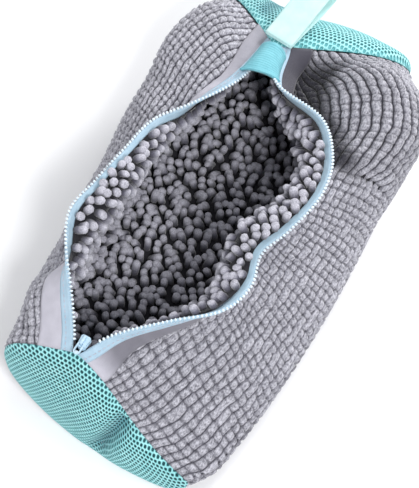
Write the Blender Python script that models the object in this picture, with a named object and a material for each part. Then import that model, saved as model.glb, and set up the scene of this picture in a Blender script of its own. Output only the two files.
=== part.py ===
"""Open shoe wash bag lying on its base: chenille shell, mesh ends, noodle lining, zip along the top.

Metres, +Z up. The length runs along Y; the near end, where the zip slider is parked, is at -Y.
The origin lies under the middle of the floor panel, on the surface that the bag rests on.
"""

import math

import bmesh
import bpy
import numpy as np
from mathutils import Matrix, Vector

# Driving sizes of the sewn shell
BAG_LENGTH = 0.400
BAG_WIDTH = 0.220
BAG_HEIGHT = 0.120
SHELL_THICKNESS = 0.0030
LINING_THICKNESS = 0.0016
MESH_THICKNESS = 0.0030
SEAM_GAP = 0.0004
FLOOR_EDGE_REACH = 0.026
FLOOR_EDGE_SOFTNESS = 0.014
FLOOR_END_BOW = 0.010
FLOOR_BOW_DEPTH = 0.020
FLOOR_CORNER_DROP = 0.55
NEAR_CORNER_TUCK = 0.024
NEAR_MESH_BULGE = 0.010
FAR_MESH_BULGE = 0.026
MESH_TIP_SHARE = 0.015
MESH_STANDOFF = 0.0006

# Zip: tape, facing, teeth, stops, slider and pull
TAPE_WIDTH = 0.009
TAPE_THICKNESS = 0.0010
FACING_WIDTH = 0.016
FACING_THICKNESS = 0.0016
TOOTH_PITCH = 0.0045
TOOTH_HEIGHT = 0.0026
TOOTH_ROOT = 0.0012
TOOTH_REACH = 0.0030
TOOTH_ROOT_SHARE = 0.7
TOOTH_FLANKS = (0.25, 0.72)
TEETH_START = 0.060
TEETH_END = 0.955
STOP_LENGTH = 0.0045
SLIDER_LENGTH = 0.0098
SLIDER_WIDTH = 0.0078
SLIDER_TAIL_WIDTH = 0.0058
SLIDER_CORNER_SHARE = 0.3
SLIDER_PLATE = 0.0011
SLIDER_THROAT = 0.0026
SLIDER_LIFT_NEAR = -0.0009
SLIDER_LIFT_FAR = 0.0030
SLIDER_SEAT_NEAR = 0.026
SLIDER_SEAT_FAR = 0.850
BRIDGE_HEIGHT = 0.0034
BRIDGE_BAR = 0.0010
BRIDGE_WIDTH = 0.0016
BRIDGE_LEG_SHARE = 0.3
PULL_LENGTH = 0.0108
PULL_WIDTH = 0.0054
PULL_WIRE = 0.0011
PULL_CLEARANCE = 0.0006
POST_WIDTH = 0.0022
POST_LENGTH = 0.0042
POST_SETBACK = 0.0028
FLANGE_WIDTH = 0.0009
FLANGE_INSET = 0.0006
FLANGE_SHARE = 0.28
BOTTOM_STOP_WIDTH = 0.0034
BOTTOM_STOP_LENGTH = 0.0022
BOTTOM_STOP_STATION = 0.004
TOP_STOP_STATION = 0.967
STOP_BEVEL = 0.0005

# Elastic keeper over the far end of the zip, and the hang loop in the far seam
KEEPER_START = 0.885
KEEPER_END = 0.962
KEEPER_FOOT = 0.0060
KEEPER_ARCH = 0.0105
KEEPER_THICKNESS = 0.0014
KEEPER_FULLNESS = 0.50
KEEPER_STANDOFF = 0.0008
KEEPER_RISE = (0.0, 0.34, 0.94)
KEEPER_ROWS = 7
KEEPER_COLUMNS = 13
LOOP_LENGTH = 0.066
LOOP_WEBBING_WIDTH = 0.025
LOOP_WEBBING_THICKNESS = 0.0016
LOOP_GAP = 0.013
LOOP_RISE = 0.0034
LOOP_SETBACK = 0.004
LOOP_ROOT_HALF_GAP = 0.0006
LOOP_YAW = math.radians(-12.0)
LOOP_STEPS = 8
LOOP_FULLNESS = 1.5

# Noodle lining
NOODLE_LENGTH = 0.013
NOODLE_THICKNESS = 0.0075
NOODLE_TIP_SHARE = 0.62
NOODLE_HEADROOM = 0.048
NOODLE_MARGIN = 0.0008
NOODLE_OVERHANG = 0.6

# Resolution of the lofts
STATIONS = 25
SECTION_POINTS = 48
MESH_COLUMNS = 23
MESH_ROWS = 7
MESH_DOME_FULLNESS = 0.8
NEAR_MESH_FADE = 1.2
FAR_MESH_FADE = 0.7
RIM_STEP = 0.01
SHARP_EDGE = math.radians(40.0)

HALF_WIDTH = BAG_WIDTH / 2
HALF_LENGTH = BAG_LENGTH / 2
HALF_GAP = SEAM_GAP / 2
COLLAR = TAPE_WIDTH + FACING_WIDTH
SPAN = np.linspace(0.0, 1.0, STATIONS)
UP = np.array([0.0, 0.0, 1.0])

# Fold of the far right wall: a crease beside the zip and a swell beyond it.
# Stations where it starts, is full, still is full and ends; shares of the wall; depths in heights.
FOLD_STATIONS = (0.64, 0.78, 0.93, 1.00)
CREASE_SHARE = 0.27
CREASE_SPREAD = 0.13
CREASE_DEPTH = 0.22
SWELL_SHARE = 0.58
SWELL_SPREAD = 0.22
SWELL_RISE = 0.08

# Guide curves from the near end (station 0) to the far end (station 1).
# Each row: station, across in half widths, along in half lengths, up in heights.
LIP = {
    "left": [
        (0.00, -0.375, -0.860, 0.790), (0.05, -0.420, -0.800, 0.825), (0.12, -0.540, -0.685, 0.905),
        (0.20, -0.680, -0.560, 0.990), (0.28, -0.775, -0.435, 1.025), (0.40, -0.730, -0.265, 1.015),
        (0.52, -0.675, -0.095, 0.990), (0.64, -0.610, 0.075, 0.955), (0.74, -0.465, 0.200, 0.915),
        (0.86, -0.265, 0.395, 0.860), (1.00, -0.200, 0.665, 0.710),
    ],
    "right": [
        (0.00, -0.335, -0.860, 0.790), (0.05, -0.175, -0.765, 0.865), (0.12, 0.120, -0.650, 0.940),
        (0.20, 0.410, -0.535, 0.965), (0.28, 0.500, -0.405, 0.960), (0.36, 0.465, -0.275, 0.960),
        (0.46, 0.560, -0.140, 0.960), (0.58, 0.645, 0.055, 0.960), (0.68, 0.590, 0.215, 0.950),
        (0.77, 0.400, 0.360, 0.915), (0.86, 0.020, 0.450, 0.840), (1.00, -0.145, 0.665, 0.710),
    ],
}
SIDE_SEAM = {
    "left": [
        (0.00, -0.860, -0.895, 0.415), (0.06, -0.890, -0.820, 0.365), (0.16, -0.920, -0.630, 0.300),
        (0.40, -0.905, -0.230, 0.265), (0.65, -0.950, 0.270, 0.265), (0.80, -0.935, 0.570, 0.280),
        (0.92, -0.865, 0.825, 0.300), (1.00, -0.765, 0.940, 0.290),
    ],
    "right": [
        (0.00, 0.565, -1.005, 0.165), (0.04, 0.668, -0.945, 0.160), (0.14, 0.765, -0.780, 0.165),
        (0.30, 0.872, -0.455, 0.190), (0.55, 0.948, 0.070, 0.210), (0.65, 0.955, 0.260, 0.222),
        (0.76, 0.990, 0.460, 0.235), (0.90, 0.930, 0.725, 0.310), (1.00, 0.700, 0.940, 0.290),
    ],
}
# How each wall leaves its lip and meets its side seam.
# Each row: station, lean at the lip and flare at the seam in degrees outward from straight down,
# each followed by the length of that tangent in heights.
WALL = {
    "left": [
        (0.00, 75, 0.18, -10, 0.33), (0.06, 68, 0.20, -6, 0.34), (0.14, 50, 0.22, -8, 0.38),
        (0.22, -40, 0.30, -15, 0.42), (0.30, -72, 0.36, -19, 0.45), (0.58, -72, 0.38, -26, 0.52),
        (0.70, -45, 0.30, -28, 0.54), (0.80, 30, 0.24, -29, 0.55), (0.88, 62, 0.26, -22, 0.48),
        (1.00, 75, 0.25, 10, 0.28),
    ],
    "right": [
        (0.00, 80, 0.35, 82, 0.50), (0.06, 10, 0.33, 70, 0.42), (0.14, -20, 0.32, 45, 0.37),
        (0.20, -52, 0.38, 30, 0.36), (0.27, -76, 0.44, 20, 0.36), (0.60, -78, 0.44, 0, 0.44),
        (0.72, -54, 0.38, -13, 0.54), (0.82, -18, 0.32, -24, 0.66), (0.91, 34, 0.26, -16, 0.56),
        (1.00, 75, 0.29, 25, 0.30),
    ],
}


def clear_scene():
    for item in list(bpy.data.objects):
        bpy.data.objects.remove(item, do_unlink=True)


def new_collection(name):
    group = bpy.data.collections.new(name)
    bpy.context.scene.collection.children.link(group)
    return group


def make_material(name, colour, roughness, metallic=0.0):
    material = bpy.data.materials.new(name)
    material.use_nodes = True
    shader = material.node_tree.nodes["Principled BSDF"]
    shader.inputs["Base Color"].default_value = (*colour, 1.0)
    shader.inputs["Roughness"].default_value = roughness
    shader.inputs["Metallic"].default_value = metallic
    return material


clear_scene()
PARTS = new_collection("shoe_bag")
CHENILLE = make_material("grey_chenille", (0.30, 0.29, 0.34), 0.95)
NOODLES = make_material("grey_noodles", (0.29, 0.28, 0.33), 0.95)
AIR_MESH = make_material("turquoise_mesh", (0.16, 0.63, 0.63), 0.70)
FACING = make_material("plain_facing", (0.47, 0.45, 0.53), 0.85)
TAPE = make_material("blue_zip_tape", (0.42, 0.64, 0.82), 0.80)
TEETH = make_material("white_teeth", (0.75, 0.86, 0.92), 0.35)
SLIDER_PAINT = make_material("pale_blue_slider", (0.52, 0.68, 0.80), 0.30)
ELASTIC = make_material("turquoise_elastic", (0.13, 0.50, 0.55), 0.75)
WEBBING = make_material("mint_webbing", (0.66, 0.88, 0.85), 0.80)


def through(rows, station):
    """Smooth curve through rows of (station, values...), read at one station."""
    table = np.array(rows, dtype=float)
    knots = table[:, 0]
    values = table[:, 1:]
    slopes = np.gradient(values, knots, axis=0)
    i = int(np.clip(np.searchsorted(knots, station, side="right") - 1, 0, len(knots) - 2))
    step = knots[i + 1] - knots[i]
    t = (station - knots[i]) / step
    return (
        (2 * t**3 - 3 * t**2 + 1) * values[i]
        + (t**3 - 2 * t**2 + t) * step * slopes[i]
        + (3 * t**2 - 2 * t**3) * values[i + 1]
        + (t**3 - t**2) * step * slopes[i + 1]
    )


def guide(rows, station):
    return through(rows, station) * np.array([HALF_WIDTH, HALF_LENGTH, BAG_HEIGHT])


def bezier(corners, count):
    t = np.linspace(0.0, 1.0, count)[:, None]
    a, b, c, d = corners
    return (1 - t) ** 3 * a + 3 * t * (1 - t) ** 2 * b + 3 * t**2 * (1 - t) * c + t**3 * d


def unit(vectors):
    return vectors / np.linalg.norm(vectors, axis=-1, keepdims=True)


def arc_lengths(points):
    return np.concatenate([[0.0], np.cumsum(np.linalg.norm(np.diff(points, axis=0), axis=1))])


def read_along(points, lengths, wanted):
    return np.stack([np.interp(wanted, lengths, points[:, k]) for k in range(3)], axis=-1)


def wall_section(side, station):
    """One wall from its lip down to its side seam."""
    lip = guide(LIP[side], station)
    seam = guide(SIDE_SEAM[side], station)
    lean, lip_pull, flare, seam_pull = through(WALL[side], station)
    lean, flare = math.radians(lean), math.radians(flare)
    outward = unit((seam - lip) * np.array([1.0, 1.0, 0.0]))
    lip_tangent = lip_pull * BAG_HEIGHT * (outward * math.sin(lean) - UP * math.cos(lean))
    seam_tangent = seam_pull * BAG_HEIGHT * (outward * math.sin(flare) - UP * math.cos(flare))
    points = bezier([lip, lip + lip_tangent, seam - seam_tangent, seam], SECTION_POINTS)
    if side == "right":
        points = points + far_fold(station, unit(seam - lip))
    return points


def smooth(value):
    """A soft step from 0 to 1."""
    value = min(max(value, 0.0), 1.0)
    return value * value * (3 - 2 * value)


def far_fold(station, chord):
    """Offsets that fold the far right wall, square to the line from its lip to its seam."""
    start, full, fading, end = FOLD_STATIONS
    strength = smooth((station - start) / (full - start)) * smooth((end - station) / (end - fading))
    t = np.linspace(0.0, 1.0, SECTION_POINTS)
    crease = CREASE_DEPTH * np.exp(-(((t - CREASE_SHARE) / CREASE_SPREAD) ** 2))
    swell = SWELL_RISE * np.exp(-(((t - SWELL_SHARE) / SWELL_SPREAD) ** 2))
    fold = (swell - crease) * np.sin(np.pi * t) * BAG_HEIGHT * strength
    return fold[:, None] * unit(UP - chord * chord[2])


def floor_section(station):
    """The floor panel from the left side seam to the right one, flat on Z = 0 between its edges."""
    left = guide(SIDE_SEAM["left"], station)
    right = guide(SIDE_SEAM["right"], station)
    flat = np.array([1.0, 1.0, 0.0])
    across = unit((right - left) * flat)
    fade = FLOOR_BOW_DEPTH / BAG_LENGTH
    near = math.exp(-station / fade)
    far = math.exp(-(1.0 - station) / fade)
    left_edge = left * flat + across * (FLOOR_EDGE_REACH + NEAR_CORNER_TUCK * near)
    right_edge = right * flat - across * FLOOR_EDGE_REACH
    soft = across * FLOOR_EDGE_SOFTNESS
    drop = UP * FLOOR_CORNER_DROP
    left_turn = bezier([left, left - drop * left[2], left_edge - soft, left_edge], SECTION_POINTS // 2)
    right_turn = bezier([right_edge, right_edge + soft, right - drop * right[2], right], SECTION_POINTS // 2)
    middle = np.linspace(left_edge, right_edge, SECTION_POINTS)[1:-1]
    points = np.concatenate([left_turn, middle, right_turn])
    share = np.linspace(0.0, 1.0, len(points))
    points[:, 1] += FLOOR_END_BOW * (far - near) * 4 * share * (1 - share)
    return points


def whole_section(station):
    """Points from the left lip round the floor to the right lip, with the marks along them."""
    left = wall_section("left", station)
    floor = floor_section(station)
    right = wall_section("right", station)[::-1]
    points = np.concatenate([left, floor[1:], right[1:]])
    lengths = arc_lengths(points)
    marks = {
        "left_lip": 0.0,
        "left_seam": lengths[len(left) - 1],
        "right_seam": lengths[len(left) + len(floor) - 2],
        "right_lip": lengths[-1],
    }
    return points, lengths, marks


def surface_strip(start, end, stations, columns):
    """Points and outward normals of the band of shell between two marks.

    start and end are (mark, offset) pairs, measured along the section from the left lip to the right.
    Pieces that meet at a mark share its normal there, so their edges are mitred alike.
    """
    points = []
    tangents = []
    for station in stations:
        section, lengths, marks = whole_section(station)
        wanted = np.linspace(marks[start[0]] + start[1], marks[end[0]] + end[1], columns)
        points.append(read_along(section, lengths, wanted))
        for column, (mark, offset) in ((0, start), (-1, end)):
            if abs(offset) < SEAM_GAP:
                wanted[column] = marks[mark]
        tangents.append(read_along(np.gradient(section, lengths, axis=0), lengths, wanted))
    points = np.array(points)
    normals = unit(np.cross(np.gradient(points, axis=0), np.array(tangents)))
    return points, normals


def link_mesh(name, bm, material, smooth=True):
    bmesh.ops.recalc_face_normals(bm, faces=bm.faces[:])
    mesh = bpy.data.meshes.new(name)
    bm.to_mesh(mesh)
    bm.free()
    mesh.materials.append(material)
    if smooth:
        mesh.shade_smooth()
        mesh.set_sharp_from_angle(angle=SHARP_EDGE)
    item = bpy.data.objects.new(name, mesh)
    PARTS.objects.link(item)
    return item


def add_sheet(bm, points):
    """A quad sheet whose vertices take the given grid of points."""
    rows, columns = points.shape[:2]
    made = bmesh.ops.create_grid(bm, x_segments=columns - 1, y_segments=rows - 1, size=1.0)
    verts = made["verts"]
    for vert, place in zip(verts, points.reshape(-1, 3)):
        vert.co = place
    return [verts[r * columns:(r + 1) * columns] for r in range(rows)]


def rim_loop(grid):
    lower = grid[0]
    upper = grid[-1][::-1]
    right = [row[-1] for row in grid[1:-1]]
    left = [row[0] for row in grid[-2:0:-1]]
    return lower + right + upper + left


def slab_mesh(outer, inner):
    """A closed slab between two grids of points of the same size; also gives the inner grid."""
    bm = bmesh.new()
    outer_grid = add_sheet(bm, outer)
    inner_grid = add_sheet(bm, inner)
    outer_rim = rim_loop(outer_grid)
    inner_rim = rim_loop(inner_grid)
    for i in range(len(outer_rim)):
        j = (i + 1) % len(outer_rim)
        bm.faces.new([outer_rim[i], outer_rim[j], inner_rim[j], inner_rim[i]])
    return bm, inner_grid


def shell_piece(name, start, end, columns, thickness, material):
    """A sewn piece that follows the whole length of the shell, its outer face on the outside."""
    points, normals = surface_strip(start, end, SPAN, columns)
    bm = slab_mesh(points, points - normals * thickness)[0]
    link_mesh(name, bm, material)


# The three panels of the shell, as (start, end) marks with offsets
PANELS = {
    "left": (("left_lip", COLLAR + HALF_GAP), ("left_seam", -HALF_GAP)),
    "bottom": (("left_seam", HALF_GAP), ("right_seam", -HALF_GAP)),
    "right": (("right_seam", HALF_GAP), ("right_lip", -COLLAR - HALF_GAP)),
}
PANEL_COLUMNS = {"left": 10, "bottom": 15, "right": 12}


def build_shell():
    for side, (start, end) in PANELS.items():
        shell_piece(f"outer_{side}_panel", start, end, PANEL_COLUMNS[side], SHELL_THICKNESS, CHENILLE)


def build_collar():
    """Zip tapes along the lips, with a plain facing between each tape and its chenille panel."""
    tape_edge = TAPE_WIDTH - HALF_GAP
    facing_edge = TAPE_WIDTH + HALF_GAP
    collar_edge = COLLAR - HALF_GAP
    for side, sign in (("left", 1.0), ("right", -1.0)):
        lip = f"{side}_lip"
        inner = (lip, sign * facing_edge)
        outer = (lip, sign * collar_edge)
        shell_piece(f"{side}_zip_tape", (lip, 0.0), (lip, sign * tape_edge), 3, TAPE_THICKNESS, TAPE)
        shell_piece(f"{side}_zip_facing", inner, outer, 4, FACING_THICKNESS, FACING)


def build_lining():
    """Lining behind each panel; its inner face carries a field of soft noodles."""
    top = SHELL_THICKNESS + SEAM_GAP
    for side, (start, end) in PANELS.items():
        points, normals = surface_strip(start, end, SPAN, PANEL_COLUMNS[side])
        under = top + LINING_THICKNESS
        bm, inner = slab_mesh(points - normals * top, points - normals * under)
        bmesh.ops.recalc_face_normals(bm, faces=bm.faces[:])
        grow_noodles(bm, inner, 0.0 if side == "bottom" else NOODLE_HEADROOM)
        link_mesh(f"lining_{side}", bm, NOODLES, smooth=False)


def grow_noodles(bm, inner, lowest_noodle):
    """Pull blunt noodles out of staggered cells of the inner face, clear of its edges."""
    cells = []
    for r in range(2, len(inner) - 3):
        for c in range(1 + r % 2, len(inner[0]) - 2, 2):
            corners = {inner[r][c], inner[r][c + 1], inner[r + 1][c], inner[r + 1][c + 1]}
            cells += [face for face in inner[r][c].link_faces if set(face.verts) == corners]
    for cell in cells:
        cell.normal_update()
        normal = cell.normal.copy()
        room = cell.calc_center_median().z - lowest_noodle
        if room < 0 or normal.z < -NOODLE_OVERHANG:
            continue
        inset = (math.sqrt(cell.calc_area()) - NOODLE_THICKNESS) / 2
        bmesh.ops.inset_individual(bm, faces=[cell], thickness=max(inset, NOODLE_MARGIN))
        tip = bmesh.ops.extrude_discrete_faces(bm, faces=[cell])["faces"][0]
        centre = tip.calc_center_median()
        for vert in tip.verts:
            vert.co = centre + (vert.co - centre) * NOODLE_TIP_SHARE + normal * NOODLE_LENGTH


def end_panel(name, station, bulge, fade, direction):
    """A domed lens of air mesh closing one end, laid against the rim of the shell.

    fade is how fast the dome dies away towards the lens's two tips.
    """
    step = RIM_STEP if station < 0.5 else -RIM_STEP
    section, lengths, marks = whole_section(station)
    beyond = whole_section(station + step)[0]
    rim = section + unit(section - beyond) * MESH_STANDOFF
    left_end = np.searchsorted(lengths, marks["left_seam"])
    right_start = np.searchsorted(lengths, marks["right_seam"])
    floor = rim[left_end:right_start + 1]
    top = np.concatenate([rim[left_end::-1], rim[:right_start - 1:-1]])
    share = np.linspace(MESH_TIP_SHARE, 1.0 - MESH_TIP_SHARE, MESH_COLUMNS)
    upper = read_along(top, arc_lengths(top), share * arc_lengths(top)[-1])
    lower = read_along(floor, arc_lengths(floor), share * arc_lengths(floor)[-1])
    down = np.linspace(0.0, 1.0, MESH_ROWS)[:, None, None]
    dome = (4 * down * (1 - down)) ** MESH_DOME_FULLNESS * np.sin(np.pi * share)[None, :, None] ** fade
    direction = unit(np.array(direction))
    inner = upper * (1 - down) + lower * down + dome * bulge * direction
    link_mesh(name, slab_mesh(inner + direction * MESH_THICKNESS, inner)[0], AIR_MESH)


def build_ends():
    end_panel("near_mesh_panel", 0.0, NEAR_MESH_BULGE, NEAR_MESH_FADE, (0.0, -1.0, 0.15))
    end_panel("far_mesh_panel", 1.0, FAR_MESH_BULGE, FAR_MESH_FADE, (0.0, 1.0, 0.35))


def lip_frames(side, stations):
    """Points on a lip with the directions along it, out of the tape's edge and off its face."""
    sign = 1.0 if side == "left" else -1.0
    lip = f"{side}_lip"
    start, end = ((lip, 0.0), (lip, TAPE_WIDTH)) if side == "left" else ((lip, -TAPE_WIDTH), (lip, 0.0))
    points, normals = surface_strip(start, end, stations, 3)
    edge = 0 if side == "left" else -1
    along = unit(np.gradient(points[:, edge], axis=0))
    face = normals[:, edge]
    inward = unit(np.cross(face, along)) * -sign
    return points[:, edge] - face * TAPE_THICKNESS / 2, along, inward, face


def teeth_row(side):
    """One row of moulded teeth: a bead along the tape's edge that swells into a tooth at each pitch."""
    points, _, inward, face = lip_frames(side, SPAN)
    lengths = arc_lengths(points)
    first, last = np.interp((TEETH_START, TEETH_END), SPAN, lengths)
    count = int((last - first) / TOOTH_PITCH)
    profile = [(0.0, TOOTH_ROOT)] + [(flank, TOOTH_REACH) for flank in TOOTH_FLANKS]
    bm = bmesh.new()
    previous = None
    for tooth in range(count):
        for offset, reach in profile:
            wanted = first + (tooth + offset) * TOOTH_PITCH
            place = read_along(points, lengths, wanted)
            out = unit(read_along(inward, lengths, wanted))
            off = unit(read_along(face, lengths, wanted))
            half = TOOTH_HEIGHT / 2 * (1.0 if reach > TOOTH_ROOT else TOOTH_ROOT_SHARE)
            tip = SEAM_GAP + reach
            corners = [(SEAM_GAP, -half), (tip, -half), (tip, half), (SEAM_GAP, half)]
            ring = [bm.verts.new(place + out * x + off * y) for x, y in corners]
            if previous is None:
                bm.faces.new(ring)
            else:
                for k in range(4):
                    bm.faces.new([previous[k], previous[(k + 1) % 4], ring[(k + 1) % 4], ring[k]])
            previous = ring
    bm.faces.new(previous)
    link_mesh(f"{side}_zip_teeth", bm, TEETH, smooth=False)


def boxed(name, size, place, material, bevel):
    """A bevelled block as a mesh object in the parts collection."""
    bm = bmesh.new()
    bmesh.ops.create_cube(bm, size=1.0, matrix=Matrix.Translation(place) @ Matrix.Diagonal((*size, 1.0)))
    if bevel:
        bmesh.ops.bevel(bm, geom=bm.edges[:], offset=bevel, segments=2, affect="EDGES")
    return link_mesh(name, bm, material)


def block(name, size, place):
    """A square-edged block of the slider, before it is united with the rest."""
    return boxed(name, size, place, SLIDER_PAINT, 0)


def axes_matrix(place, x_axis, y_axis, z_axis):
    matrix = Matrix.Identity(4)
    for column, vector in enumerate((x_axis, y_axis, z_axis, place)):
        matrix.col[column][:3] = tuple(float(value) for value in vector)
    return matrix


def build_teeth():
    """Both rows of teeth, each closed at the far end by a stop clamped on the tape's edge."""
    for side in ("left", "right"):
        teeth_row(side)
        reach = TOP_STOP_STATION - TEETH_END
        stations = np.linspace(TOP_STOP_STATION - reach, TOP_STOP_STATION + reach, 3)
        points, along, inward, _ = lip_frames(side, stations)
        size = (TOOTH_REACH, STOP_LENGTH, TOOTH_HEIGHT)
        stop = boxed(f"{side}_top_stop", size, (0, 0, 0), TEETH, STOP_BEVEL)
        place = points[1] + inward[1] * (SEAM_GAP + TOOTH_REACH / 2)
        stop.matrix_world = axes_matrix(place, inward[1], along[1], np.cross(inward[1], along[1]))


def rounded_slot(length, width, steps=8):
    """Outline of a slot with round ends, its first end centred on the origin and running to -Y."""
    radius = width / 2
    run = length - width
    points = []
    for k in range(steps + 1):
        angle = math.pi * k / steps
        points.append((radius * math.cos(angle), radius * math.sin(angle)))
    for k in range(steps + 1):
        angle = math.pi + math.pi * k / steps
        points.append((radius * math.cos(angle), radius * math.sin(angle) - run))
    return points


def flat_outline(name, outlines, thickness, material):
    """A plate cut from closed outlines, the later ones being holes."""
    curve = bpy.data.curves.new(name, "CURVE")
    curve.dimensions = "2D"
    curve.fill_mode = "BOTH"
    curve.extrude = thickness / 2
    for outline in outlines:
        spline = curve.splines.new("POLY")
        spline.points.add(len(outline) - 1)
        for point, (x, y) in zip(spline.points, outline):
            point.co = (x, y, 0.0, 1.0)
        spline.use_cyclic_u = True
    shape = bpy.data.objects.new(name, curve)
    PARTS.objects.link(shape)
    mesh = bpy.data.meshes.new_from_object(shape.evaluated_get(bpy.context.evaluated_depsgraph_get()))
    bpy.data.objects.remove(shape, do_unlink=True)
    bm = bmesh.new()
    bm.from_mesh(mesh)
    bpy.data.meshes.remove(mesh)
    bmesh.ops.remove_doubles(bm, verts=bm.verts[:], dist=0.00001)
    return link_mesh(name, bm, material)


def unite(target, others):
    """Join overlapping blocks into one solid and drop the blocks."""
    for other in others:
        joint = target.modifiers.new(other.name, "BOOLEAN")
        joint.operation = "UNION"
        joint.object = other
    mesh = bpy.data.meshes.new_from_object(
        target.evaluated_get(bpy.context.evaluated_depsgraph_get()))
    target.modifiers.clear()
    target.data = mesh
    for other in others:
        bpy.data.objects.remove(other, do_unlink=True)
    return target


def zip_centre(station):
    return (guide(LIP["left"], station) + guide(LIP["right"], station)) / 2


def slider_seats():
    """Places of the slider at the near and the far end of its run along the zip."""
    near = zip_centre(SLIDER_SEAT_NEAR) + UP * SLIDER_LIFT_NEAR
    far = zip_centre(SLIDER_SEAT_FAR) + UP * SLIDER_LIFT_FAR
    return near, far


def slider_plate(name, height):
    """A wing of the slider: broad at the shoulders, narrow at the tail, with round corners."""
    bm = bmesh.new()
    bmesh.ops.create_cube(bm, size=1.0, matrix=Matrix.Translation((0, 0, height)) @ Matrix.Diagonal(
        (SLIDER_WIDTH, SLIDER_LENGTH, SLIDER_PLATE, 1.0)))
    for vert in bm.verts:
        if vert.co.y < 0:
            vert.co.x *= SLIDER_TAIL_WIDTH / SLIDER_WIDTH
    upright = [e for e in bm.edges if abs(e.verts[0].co.z - e.verts[1].co.z) > SLIDER_PLATE / 2]
    corner = SLIDER_TAIL_WIDTH * SLIDER_CORNER_SHARE
    bmesh.ops.bevel(bm, geom=upright, offset=corner, segments=3, affect="EDGES", profile=0.5)
    return link_mesh(name, bm, SLIDER_PAINT)


def build_slider():
    """Slider: two wings joined by a post, side flanges, and a bridge on top that carries the pull."""
    near, far = slider_seats()
    run = unit(far - near)
    side = unit(np.cross(run, UP))
    frame = axes_matrix(near, side, run, np.cross(side, run))
    lower = SLIDER_PLATE / 2
    upper = SLIDER_PLATE * 1.5 + SLIDER_THROAT
    body = slider_plate("zip_slider", lower)
    post_size = (POST_WIDTH, POST_LENGTH, SLIDER_THROAT + SLIDER_PLATE)
    post_place = (0, SLIDER_LENGTH / 2 - POST_SETBACK, lower + post_size[2] / 2)
    blocks = [slider_plate("slider_lid", upper), block("slider_post", post_size, post_place)]
    sunk = SLIDER_PLATE / 2
    flange = SLIDER_THROAT * FLANGE_SHARE
    flange_size = (FLANGE_WIDTH, SLIDER_LENGTH / 2, flange + sunk)
    flange_floor = SLIDER_PLATE + (flange - sunk) / 2
    flange_ceiling = SLIDER_PLATE + SLIDER_THROAT - (flange - sunk) / 2
    for across in (FLANGE_INSET - SLIDER_TAIL_WIDTH / 2, SLIDER_TAIL_WIDTH / 2 - FLANGE_INSET):
        for height in (flange_floor, flange_ceiling):
            blocks.append(block(f"flange_{len(blocks)}", flange_size, (across, -SLIDER_LENGTH / 6, height)))
    top = upper + SLIDER_PLATE / 2
    leg = SLIDER_LENGTH * BRIDGE_LEG_SHARE
    leg_size = (BRIDGE_WIDTH, BRIDGE_BAR, BRIDGE_HEIGHT + sunk)
    for along in (-leg, leg):
        blocks.append(block(f"leg_{len(blocks)}", leg_size, (0, along, top + (BRIDGE_HEIGHT - sunk) / 2)))
    bridge_size = (BRIDGE_WIDTH, 2 * leg + BRIDGE_BAR, BRIDGE_BAR)
    blocks.append(block("bridge", bridge_size, (0, 0, top + BRIDGE_HEIGHT - BRIDGE_BAR / 3)))
    unite(body, blocks)
    body.matrix_world = frame
    wire = PULL_WIRE / 2 + PULL_CLEARANCE
    build_pull(frame, Vector((0, BRIDGE_BAR / 2 + wire - leg, top + wire)))
    return frame


def build_pull(frame, pivot):
    """Slim open ring that turns about its end wire, held under the slider's bridge."""
    ring = rounded_slot(PULL_LENGTH, PULL_WIDTH)
    hole = rounded_slot(PULL_LENGTH - 2 * PULL_WIRE, PULL_WIDTH - 2 * PULL_WIRE)
    pull = flat_outline("zip_pull", [ring, hole], PULL_WIRE, SLIDER_PAINT)
    pull.data.transform(Matrix.Translation((0, (PULL_WIRE - PULL_WIDTH) / 2, 0)))
    pull.matrix_world = Matrix.Translation(frame @ pivot) @ frame.to_3x3().to_4x4()


def build_bottom_stop(frame):
    """Small clamp that closes the chain just behind the parked slider."""
    size = (BOTTOM_STOP_WIDTH, BOTTOM_STOP_LENGTH, TOOTH_HEIGHT)
    stop = boxed("zip_bottom_stop", size, (0, 0, 0), TEETH, STOP_BEVEL)
    place = zip_centre(BOTTOM_STOP_STATION) - UP * TAPE_THICKNESS
    stop.matrix_world = Matrix.Translation(place) @ frame.to_3x3().to_4x4()


def build_keeper():
    """Elastic band arched over the far end of the zip, sewn down on the tape at both sides."""
    stations = np.linspace(KEEPER_START, KEEPER_END, KEEPER_ROWS)
    feet = []
    for mark, sign in (("left_lip", 1.0), ("right_lip", -1.0)):
        ends = sorted((sign * KEEPER_FOOT, sign * (KEEPER_FOOT + SEAM_GAP)))
        points, outward = surface_strip((mark, ends[0]), (mark, ends[1]), stations, 2)
        feet.append(points[:, :1] + outward[:, :1] * KEEPER_STANDOFF)
    across = np.linspace(0.0, 1.0, KEEPER_COLUMNS)[None, :, None]
    rise = unit(np.array(KEEPER_RISE))
    arch = KEEPER_ARCH * np.sin(np.pi * across) ** KEEPER_FULLNESS
    inner = feet[0] * (1 - across) + feet[1] * across + rise * arch
    link_mesh("zip_keeper", slab_mesh(inner + rise * KEEPER_THICKNESS, inner)[0], ELASTIC)


def loop_path():
    """Side view of the hang loop's inner face: out along the top, round the fold and back."""
    half = LOOP_GAP / 2
    run = LOOP_LENGTH - half
    opening = half - LOOP_ROOT_HALF_GAP
    top = []
    for t in np.linspace(0.0, 1.0, LOOP_STEPS + 1):
        top.append((t * run, LOOP_ROOT_HALF_GAP + opening * math.sin(math.pi / 2 * t) ** LOOP_FULLNESS))
    fold = []
    for angle in np.linspace(math.pi / 2, -math.pi / 2, LOOP_STEPS + 1)[1:-1]:
        fold.append((run + half * math.cos(angle), half * math.sin(angle)))
    back = [(along, -height) for along, height in reversed(top)]
    return np.array(top + fold + back)


def swept_webbing(line):
    """A side view carried across the width of the webbing."""
    width = np.linspace(-LOOP_WEBBING_WIDTH / 2, LOOP_WEBBING_WIDTH / 2, 3)
    grid = np.zeros((len(line), len(width), 3))
    grid[:, :, 0] = width[None, :]
    grid[:, :, 1] = line[:, :1]
    grid[:, :, 2] = line[:, 1:]
    return grid


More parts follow.
